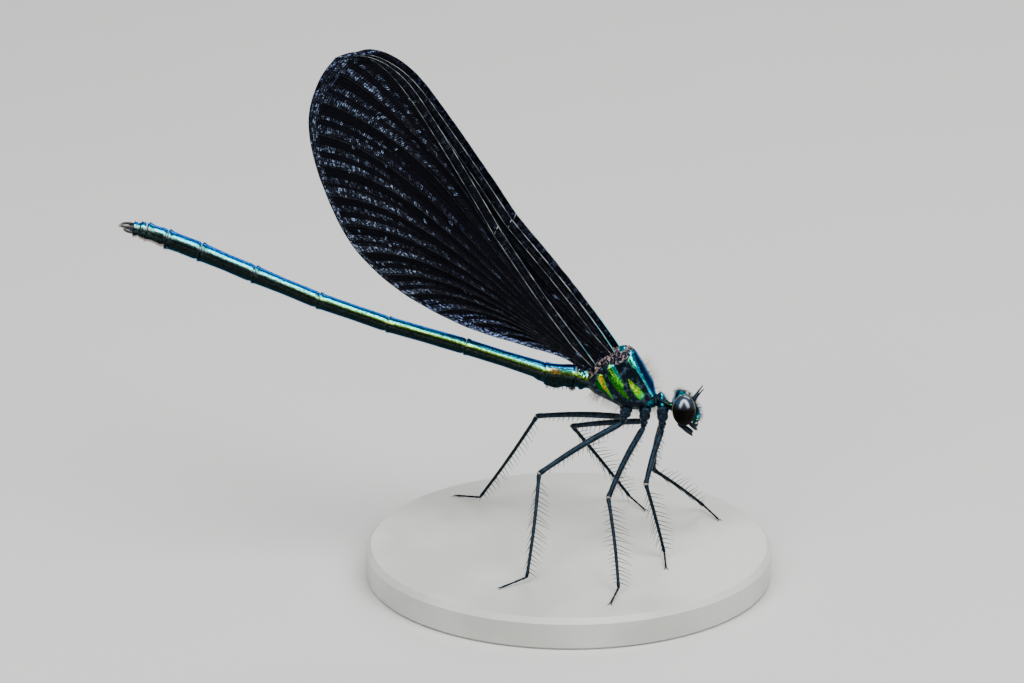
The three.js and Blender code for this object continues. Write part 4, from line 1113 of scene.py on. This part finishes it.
def wing_sheet(kind, outline, draw):
    """The membrane and its net of cross-veins, outer face up."""
    bm = bmesh.new()
    painted_glint_layer = bm.faces.layers.float.new("painted_glint")
    heading_layer = bm.faces.layers.float.new("heading")
    bmesh.ops.create_grid(bm, x_segments=FAN_COLUMNS, y_segments=FAN_ROWS, size=0.5)
    bmesh.ops.translate(bm, vec=(0.5, 0.5, 0), verts=bm.verts)
    for way, beyond in FINER:
        halve_cells(bm, way, beyond)
    shares = {}
    for vert in bm.verts:
        q, t, _ = vert.co
        shares[vert] = (q, t)
        vert.co = (*fan_point(kind, outline, q, t), pleat(q, t))
    for face in bm.faces:
        q = sum(shares[v][0] for v in face.verts) / len(face.verts)
        t = sum(shares[v][1] for v in face.verts) / len(face.verts)
        face[painted_glint_layer] = painted_glint_at(q, t, draw)
        along = Vector((0.0, 0.0, 0.0))
        for v in face.verts:
            along += v.co if shares[v][1] > t else -v.co
        face[heading_layer] = math.atan2(along.y, along.x)

    # The narrow strip of cells along the leading edge bulges outwards beyond the nodus, inwards before it
    fan_faces = set(bm.faces)
    lead_verts = bmesh.ops.create_grid(bm, x_segments=COSTA_CELLS, y_segments=2, size=0.5)["verts"]
    for vert in lead_verts:
        t, depth = vert.co.x + 0.5, vert.co.y + 0.5
        lead, back = leading_points(outline, t)
        bulge = LEADING_BULGE * math.sin(depth * math.pi) * (-1 if t < NODUS else 1)
        vert.co = (*lead.lerp(back, depth), pleat(1.0, t) + bulge)
    # Faint painted glints on the strip of cells along the leading edge
    for face in bm.faces:
        if face not in fan_faces:
            face[painted_glint_layer] = 0.09 * draw.random() ** 4
    for face in bm.faces:
        face.normal_update()
    bmesh.ops.reverse_faces(bm, faces=[face for face in bm.faces if face.normal.z < 0])
    outer = bm.faces[:]
    grown = bmesh.ops.extrude_face_region(bm, geom=outer, use_keep_orig=True)["geom"]
    under = [g for g in grown if isinstance(g, bmesh.types.BMVert)]
    bmesh.ops.translate(bm, vec=(0, 0, -MEMBRANE), verts=under)
    bmesh.ops.recalc_face_normals(bm, faces=bm.faces)

    # Each cell sinks a little between its veins and tilts its own way
    cells = [face for face in outer if min(edge.calc_length() for edge in face.edges) > SMALLEST_CELL]
    borders = bmesh.ops.inset_individual(bm, faces=cells, thickness=CELL_BORDER, depth=-CELL_SINK)["faces"]
    for face in borders:
        face.material_index = NET
        longest = max(face.edges, key=lambda edge: edge.calc_length())
        way = longest.verts[1].co - longest.verts[0].co
        turn = math.atan2(way.y, way.x) - face[heading_layer]
        # The painted glint stays on the cross-vein rungs and fades on the borders along the veins
        face[painted_glint_layer] *= draw.choice((0.3, 0.7, 1.6)) if abs(math.sin(turn)) > 0.6 else 0.12
    for face in cells:
        slope = Vector((draw.uniform(-1, 1), draw.uniform(-1, 1), 0)) * CELL_TILT
        centre = face.calc_center_median()
        for vert in face.verts:
            vert.co.z += (vert.co - centre).normalized().dot(slope)
        # A sunk cell's painted glint is dimmed, but for whole cells that glint along the rear edge
        face[painted_glint_layer] = max(face[painted_glint_layer] * 0.16, face[painted_glint_layer] - 1.0)
    return bm


def wing_ribs(kind, outline, cyan):
    """The long veins, the costa with a painted cyan gleam near its root, and the veins just behind it."""
    bm = bmesh.new()
    painted_glint_layer = bm.faces.layers.float.new("painted_glint")

    def rib(points, radii, material_index, sides=6, gleam=0.0):
        for face in tube(bm, points, radii, sides):
            face.material_index = material_index
            face[painted_glint_layer] = gleam * (1 - smooth_step(face.calc_center_median().x, *GLEAM_FADE))

    for k in range(BANDS):
        q = k / BANDS if k else 0.006
        first = 0.02 if k % 2 == 0 or k > BANDS - 3 else 0.22
        points, radii = [], []
        for n in range(FAN_STEPS + 1):
            t = first + (0.995 - first) * n / FAN_STEPS
            points.append(Vector((*fan_point(kind, outline, q, t), pleat(q, t) - MEMBRANE / 2)))
            radii.append(VEIN_RADIUS + VEIN_SWELL * math.sin(math.pi * n / FAN_STEPS))
        rib(points, radii, VEIN)

    # Share of the way back from the leading edge, rise, radius, finish, end and painted gleam
    for share, lift, size, material_index, until, gleam in (
        (-0.02 / RADIUS_DEPTH, 0.0, 0.03, COSTA, 1.0, cyan),
        (0.5, 0.05, 0.016, VEIN, NODUS_VEIN, 0.0),
        (1.0, 0.0, 0.019, COSTA, 0.97, 0.0),
    ):
        run = [n / LEADING_STEPS for n in range(LEADING_STEPS + 1) if n / LEADING_STEPS <= until]
        points = []
        for t in run:
            lead, back = leading_points(outline, t)
            points.append(Vector((*lead.lerp(back, share), pleat(1.0, t) + lift)))
        rib(points, [size * (1.25 - 0.75 * t) for t in run], material_index, 8, gleam)

    # The short cross-vein at the nodus, pale with the costa's painted highlight, and the vein along the rear
    # edge
    front = leading_points(outline, NODUS_VEIN)[0]
    back = leading_points(outline, NODUS_VEIN - 0.012)[1]
    height = pleat(1.0, NODUS_VEIN)
    rib([Vector((*front, height)), Vector((*back, height))], [0.04, 0.035], COSTA)
    rear = []
    for n in range(REAR_STEPS + 1):
        q = n / REAR_STEPS
        rear.append(Vector((*fan_edge(outline, q), pleat(q, 1.0) - MEMBRANE / 2)))
    rib(rear, [EDGE_VEIN_RADIUS] * len(rear), VEIN)
    return bm


def build_wing(kind, side, seed, cyan):
    """A wing in its own frame: span along X, rear along Y, outer face away from the body."""
    outline = measured_outline(kind)
    bm = wing_sheet(kind, outline, random.Random(seed))
    ribs_bm = wing_ribs(kind, outline, cyan)
    ribs = bpy.data.meshes.new("ribs")
    ribs_bm.to_mesh(ribs)
    ribs_bm.free()
    bm.from_mesh(ribs)
    bpy.data.meshes.remove(ribs)
    # The sheet stands aside from the middle of the body by the wing's own distance
    for vert in bm.verts:
        fade = math.exp(-max(vert.co.x, 0.0) / ROOT_FADE)
        aside = mixed(kind["rest_aside"], kind["root_aside"], fade)
        vert.co.z = -side * (vert.co.z + aside)
    if side > 0:
        bmesh.ops.reverse_faces(bm, faces=bm.faces)
    return bm


for number, (node, kind_name, side, (root_x, root_z), swing, cyan) in enumerate(WINGS):
    rise = math.radians(WING_RISE - swing)
    span = Vector((-math.cos(rise), 0, math.sin(rise)))
    rear_way = Vector((-math.sin(rise), 0, -math.cos(rise)))
    axes = Matrix((span, rear_way, Vector((0, -1, 0)))).transposed().to_4x4()
    wing_bm = build_wing(WING_KINDS[kind_name], side, FIRST_SEED + number, cyan)
    place = BODY_PLACE @ Matrix.Translation((root_x, 0, root_z)) @ axes
    finishes = [membrane_finish, net_finish, vein_finish, costa_finish]
    wing = make_piece(f"veined_{node}", wing_bm, finishes, place)
    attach(wing, "root")
    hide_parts(node)

# Legs
# Six slender black legs, each a hip, a thigh, a shin and a three-jointed foot with two claws, with
# long stiff spines in two rows along thigh and shin.
LEG_PAIRS = {
    "hind": dict(socket=(0.15, 0.78, -1.7), hip=(-0.2, 0.9, -2.82), femur=8.15, tibia=8.74, spine=1.15),
    "middle": dict(socket=(1.6, 0.82, -1.7), hip=(1.43, 1.0, -3.22), femur=7.4, tibia=8.03, spine=1.3),
    "front": dict(socket=(2.98, 0.6, -1.7), hip=(2.9, 0.8, -3.42), femur=5.26, tibia=5.7, spine=1.15),
}
# Ankle from the body's middle, turn of the knee about the line from hip to ankle, turn of the spines
# about the shin, and heading of the foot, in degrees
STANCE = {
    "right_hind": dict(ankle=(-7.74, -11.06), swivel=56, twist=-45, heading=-148),
    "right_middle": dict(ankle=(-0.67, -13.27), swivel=72, twist=78, heading=-106),
    "right_front": dict(ankle=(3.04, -5.83), swivel=35, twist=118, heading=-88),
    "left_hind": dict(ankle=(-11.45, 6.18), swivel=17, twist=0, heading=146),
    "left_middle": dict(ankle=(0.57, 6.38), swivel=-56, twist=0, heading=-60),
    "left_front": dict(ankle=(6.47, 4.29), swivel=-125, twist=0, heading=-62),
}
GROUND = 2.5
ANKLE_HEIGHT = 0.45
TOE_HEIGHT = 0.1
FOOT_LENGTH = 2.3
KNEE_SHARE = 0.012
KNEE_RADII = (0.17, 0.215, 0.16)
LIMB_BOW = 0.16
HIP_SUNK = 0.1
# Limbs as (share of the length, radius), and the steps they are drawn in; the hip takes its shape's own
HIP_SHAPE = [(0, 0.42), (0.12, 0.47), (0.24, 0.45), (0.3, 0.38), (0.36, 0.44), (0.5, 0.45), (0.6, 0.38),
             (0.655, 0.3), (0.68, 0.24), (0.72, 0.31), (0.8, 0.33), (0.88, 0.27), (0.91, 0.22), (0.95, 0.27),
             (1, 0.23)]
FEMUR_SHAPE = [(0, 0.2), (0.06, 0.25), (0.3, 0.25), (0.8, 0.21), (0.93, 0.2), (0.97, 0.24), (1, 0.2)]
TIBIA_SHAPE = [(0, 0.15), (0.03, 0.2), (0.07, 0.15), (0.5, 0.135), (0.93, 0.12), (0.97, 0.15), (1, 0.11)]
FOOT_SHAPE = [(0, 0.07), (0.08, 0.085), (0.17, 0.095), (0.2, 0.06), (0.24, 0.08), (0.47, 0.09), (0.5, 0.055),
              (0.54, 0.075), (0.94, 0.085), (1, 0.05)]
FEMUR_STEPS = (0, 0.02, 0.06, 0.15, 0.3, 0.45, 0.6, 0.75, 0.85, 0.92, 0.955, 0.98, 1)
TIBIA_STEPS = (0, 0.015, 0.03, 0.05, 0.08, 0.2, 0.4, 0.6, 0.8, 0.92, 0.96, 1)
FOOT_STEPS = (0, 0.08, 0.14, 0.17, 0.2, 0.24, 0.35, 0.44, 0.47, 0.5, 0.54, 0.7, 0.85, 0.94, 1)
# Each claw as (share of its length, radius)
CLAW_SHAPE = [(0, 0.045), (0.3, 0.04), (0.6, 0.03), (0.85, 0.018), (1, 0.006)]
CLAW_LENGTH = 0.34
CLAW_SPREAD = 0.2
CLAW_ARCH = 0.05
CLAW_DROP = 0.07
# Spines of thigh and shin: distance apart, turn to either side and slope in degrees, bare ends, and
# radius of the limb that carries them
THIGH_SPINES = dict(spacing=0.48, spread=38, slope=22, skip_root=0.9, skip_tip=0.6, surface=0.21, length=0.6)
SHIN_SPINES = dict(spacing=0.38, spread=62, slope=32, skip_root=0.7, skip_tip=0.25, surface=0.13)
SPINE_RADII = (0.032, 0.0256, 0.007)
SPINE_SEED = 70


def knee_of(hip, ankle, femur, tibia, swivel):
    """The knee of two parts of known length, swung round the line from hip to ankle."""
    line = ankle - hip
    distance = line.length
    line.normalize()
    reach = (femur ** 2 - tibia ** 2 + distance ** 2) / (2 * distance)
    radius = math.sqrt(femur ** 2 - reach ** 2)
    up = (Vector((0, 0, 1)) - line * line.z).normalized()
    aside = line.cross(up)
    turn = math.radians(swivel)
    return hip + line * reach + up * radius * math.cos(turn) + aside * radius * math.sin(turn)


def limb(bm, start, end, bow, steps, shape, sides):
    """A part of a leg, bowed a little, with its radius from a table of shares of its length."""
    points = [start.lerp(end, share) + bow * math.sin(math.pi * share) for share in steps]
    tube(bm, points, [between(shape, share) for share in steps], sides)


def add_spines(bm, start, end, inner, bow, spec, length, twist, draw):
    """Two rows of tapered spines, rooted in the limb and leaning towards its end."""
    along = (end - start).normalized()
    inner = (inner - along * inner.dot(along)).normalized()
    side = along.cross(inner)
    size = (end - start).length
    count = int((size - spec["skip_root"] - spec["skip_tip"]) / spec["spacing"])

    def wander(share):
        return 1 + share * draw.uniform(-1, 1)

    for row in (-1, 1):
        for k in range(count + 1):
            distance = spec["skip_root"] + k * spec["spacing"] + draw.uniform(-0.05, 0.05)
            turn = math.radians(row * spec["spread"] * wander(0.12) + twist)
            outward = inner * math.cos(turn) + side * math.sin(turn)
            slope = math.radians(spec["slope"] * wander(0.2))
            way = outward * math.cos(slope) + along * math.sin(slope)
            swell = 0.7 + 0.45 * math.sin(math.pi * min(1.0, distance / size * 1.1))
            reach = length * swell * wander(0.12)
            bent = bow * math.sin(math.pi * distance / size)
            root = start + along * distance + bent + outward * spec["surface"] * 0.55
            middle = root + way * reach * 0.4 - along * reach * 0.025
            tube(bm, [root, middle, root + way * reach], SPINE_RADII, 5)


leg_finish = new_finish("leg_chitin", Specular_IOR_Level=0.2, Specular_Tint=(0.4, 0.7, 1.0, 1))
leg_tone = ease(leg_finish, grain(leg_finish, 3200.0, 4.0), 0.42, 0.66)
leg_colour = blend_colours(leg_finish, leg_tone, (0.0012, 0.0024, 0.004, 1), (0.009, 0.018, 0.030, 1))
# Painted shade: the legs darken towards the floor and lighten a little near the body
painted_leg_shade = ease(leg_finish, height_above_ground(leg_finish), 0.005, 0.0115, 0.45, 1.15)
leg_colour = blend_colours(leg_finish, 1.0, leg_colour, painted_leg_shade, "MULTIPLY")
leg_rough = ease(leg_finish, grain(leg_finish, 6000.0), 0.3, 0.7, 0.26, 0.44)
wire(leg_finish, Base_Color=leg_colour, Roughness=leg_rough)
emboss(leg_finish, grain(leg_finish, 5500.0, 4.0), 0.00004, 0.7)
knee_finish = blotched_finish(
    "knee_skin", 5000.0, (0.10, 0.09, 0.09, 1), (0.35, 0.32, 0.30, 1), Roughness=0.35
)

for number, (leg_name, stance) in enumerate(STANCE.items()):
    draw = random.Random(SPINE_SEED + number)
    side_name, pair_name = leg_name.split("_")
    pair = LEG_PAIRS[pair_name]
    sign = 1 if side_name == "left" else -1
    socket, hip = [BODY_TURN @ mirrored(pair[place], sign) for place in ("socket", "hip")]
    ankle = Vector((*stance["ankle"], 0)) + BODY_ORIGIN
    ankle.z = GROUND + ANKLE_HEIGHT
    knee = knee_of(hip, ankle, pair["femur"], pair["tibia"], stance["swivel"])
    heading = math.radians(stance["heading"])
    toe = ankle + Vector((math.cos(heading), math.sin(heading), 0)) * FOOT_LENGTH
    toe.z = GROUND + TOE_HEIGHT
    inner = (ankle - knee).normalized() - (knee - hip).normalized()
    bow = -inner.normalized() * LIMB_BOW
    shin_bow = bow * -0.7

    leg_bm = bmesh.new()
    sunk = (hip - socket).normalized() * HIP_SUNK
    limb(leg_bm, socket - sunk, hip - sunk, Vector(), [share for share, _ in HIP_SHAPE], HIP_SHAPE, 20)
    limb(leg_bm, hip, knee, bow, FEMUR_STEPS, FEMUR_SHAPE, 16)
    limb(leg_bm, knee, ankle, shin_bow, TIBIA_STEPS, TIBIA_SHAPE, 14)
    limb(leg_bm, ankle, toe, Vector(), FOOT_STEPS, FOOT_SHAPE, 10)
    foot_way = (toe - ankle).normalized()
    foot_side = foot_way.cross(Vector((0, 0, 1))).normalized()
    for claw in (-1, 1):
        points = []
        for share, _ in CLAW_SHAPE:
            arch = Vector((0, 0, CLAW_ARCH * math.sin(share * math.pi) - CLAW_DROP * share))
            spread = foot_way * CLAW_LENGTH + foot_side * claw * CLAW_SPREAD
            points.append(toe + spread * share + arch)
        tube(leg_bm, points, [radius for _, radius in CLAW_SHAPE], 7)
    add_spines(leg_bm, hip, knee, inner, bow, THIGH_SPINES, THIGH_SPINES["length"], 0, draw)
    add_spines(leg_bm, knee, ankle, inner, shin_bow, SHIN_SPINES, pair["spine"], stance["twist"], draw)
    knee_ring = [knee.lerp(hip, KNEE_SHARE), knee, knee.lerp(ankle, KNEE_SHARE)]
    for face in tube(leg_bm, knee_ring, KNEE_RADII, 14):
        face.material_index = 1
    leg = make_piece(f"leg_{leg_name}", leg_bm, [leg_finish, knee_finish], MILLIMETRES)
    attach(leg, "root")
    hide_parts(*[f"{leg_name}_{part}" for part in ("coxa", "femur", "tibia", "tarsus")])

# Hairs
# Fine pale hairs stand on the front and belly of the thorax, short black ones on the head, a dense
# black fringe under the second segment of the abdomen and a tan one under the tail.
HAIR_LEAN = 0.35
ROOT_SUNK = 0.04
MAP_PATCH = 0.003
HAIR_GRAIN = 4000.0
PALE_HAIR = (0.08, 0.065, 0.05, 1), (0.34, 0.29, 0.22, 1)
BLACK_HAIR = (0.006, 0.006, 0.008, 1), (0.03, 0.03, 0.035, 1)
TAN_HAIR = (0.22, 0.17, 0.08, 1), (0.6, 0.5, 0.28, 1)
pale_hair = blotched_finish("pale_hair", HAIR_GRAIN, *PALE_HAIR, Roughness=0.5)
black_hair = blotched_finish("black_hair", HAIR_GRAIN, *BLACK_HAIR, Roughness=0.45)
tan_hair = blotched_finish("tan_hair", HAIR_GRAIN, *TAN_HAIR, Roughness=0.5)


def on_thorax(p, n):
    """Whether hairs grow at a place, from its outward way: on the front and belly, near the middle."""
    front = n.x + n.z > 0.9 and -0.5 < p.z < 2.1
    return -2.6 < p.x < 2.4 and abs(p.y) < 0.75 and (front or n.z < -0.55)


# Name, finish, where they grow, count, length, radius and seed
HAIRS = [
    ("thorax_hairs", pale_hair, on_thorax, 460, 1.05, 0.0085, 5),
    ("head_hairs", black_hair, lambda p, n: p.x > 3.8 and n.z + max(n.x, 0.0) > 0.4, 620, 0.4, 0.011, 6),
    ("prothorax_hairs", pale_hair, lambda p, n: 2.6 < p.x < 3.4 and n.z > 0.2, 90, 0.4, 0.01, 7),
    ("belly_fringe", black_hair, lambda p, n: -6.2 < p.x < -3.9 and n.z < -0.6, 420, 0.3, 0.014, 8),
    ("tail_fringe", tan_hair, lambda p, n: p.x < -34.4 and n.z < -0.6, 240, 0.2, 0.014, 9),
]

for name, finish, grows, count, length, radius, seed in HAIRS:
    draw = random.Random(seed)
    roots = [root for root in hair_roots if grows(root[0], root[1])]
    hairs_bm = bmesh.new()
    bake_uv = hairs_bm.loops.layers.uv.new("OFBake")
    for _ in range(count):
        root, normal, spot = draw.choice(roots)
        lean = Vector([draw.uniform(-HAIR_LEAN, HAIR_LEAN) for _ in range(3)])
        way = (normal + lean).normalized()
        reach = length * draw.uniform(0.55, 1.1)
        place = pointed(root + way * (reach / 2 - ROOT_SUNK), way)
        hair = {"radius1": radius, "radius2": radius * 0.15, "depth": reach}
        verts = bmesh.ops.create_cone(hairs_bm, cap_ends=True, segments=3, matrix=place, **hair)["verts"]
        # Each hair takes its colour from a small patch of the skin's map
        for face in {face for vert in verts for face in vert.link_faces}:
            face.smooth = True
            for k, loop in enumerate(face.loops):
                loop[bake_uv].uv = (spot.x + MAP_PATCH * (k % 2), spot.y + MAP_PATCH * (k // 2))
    hairs = make_piece(name, hairs_bm, [finish])
    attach(hairs, "root")
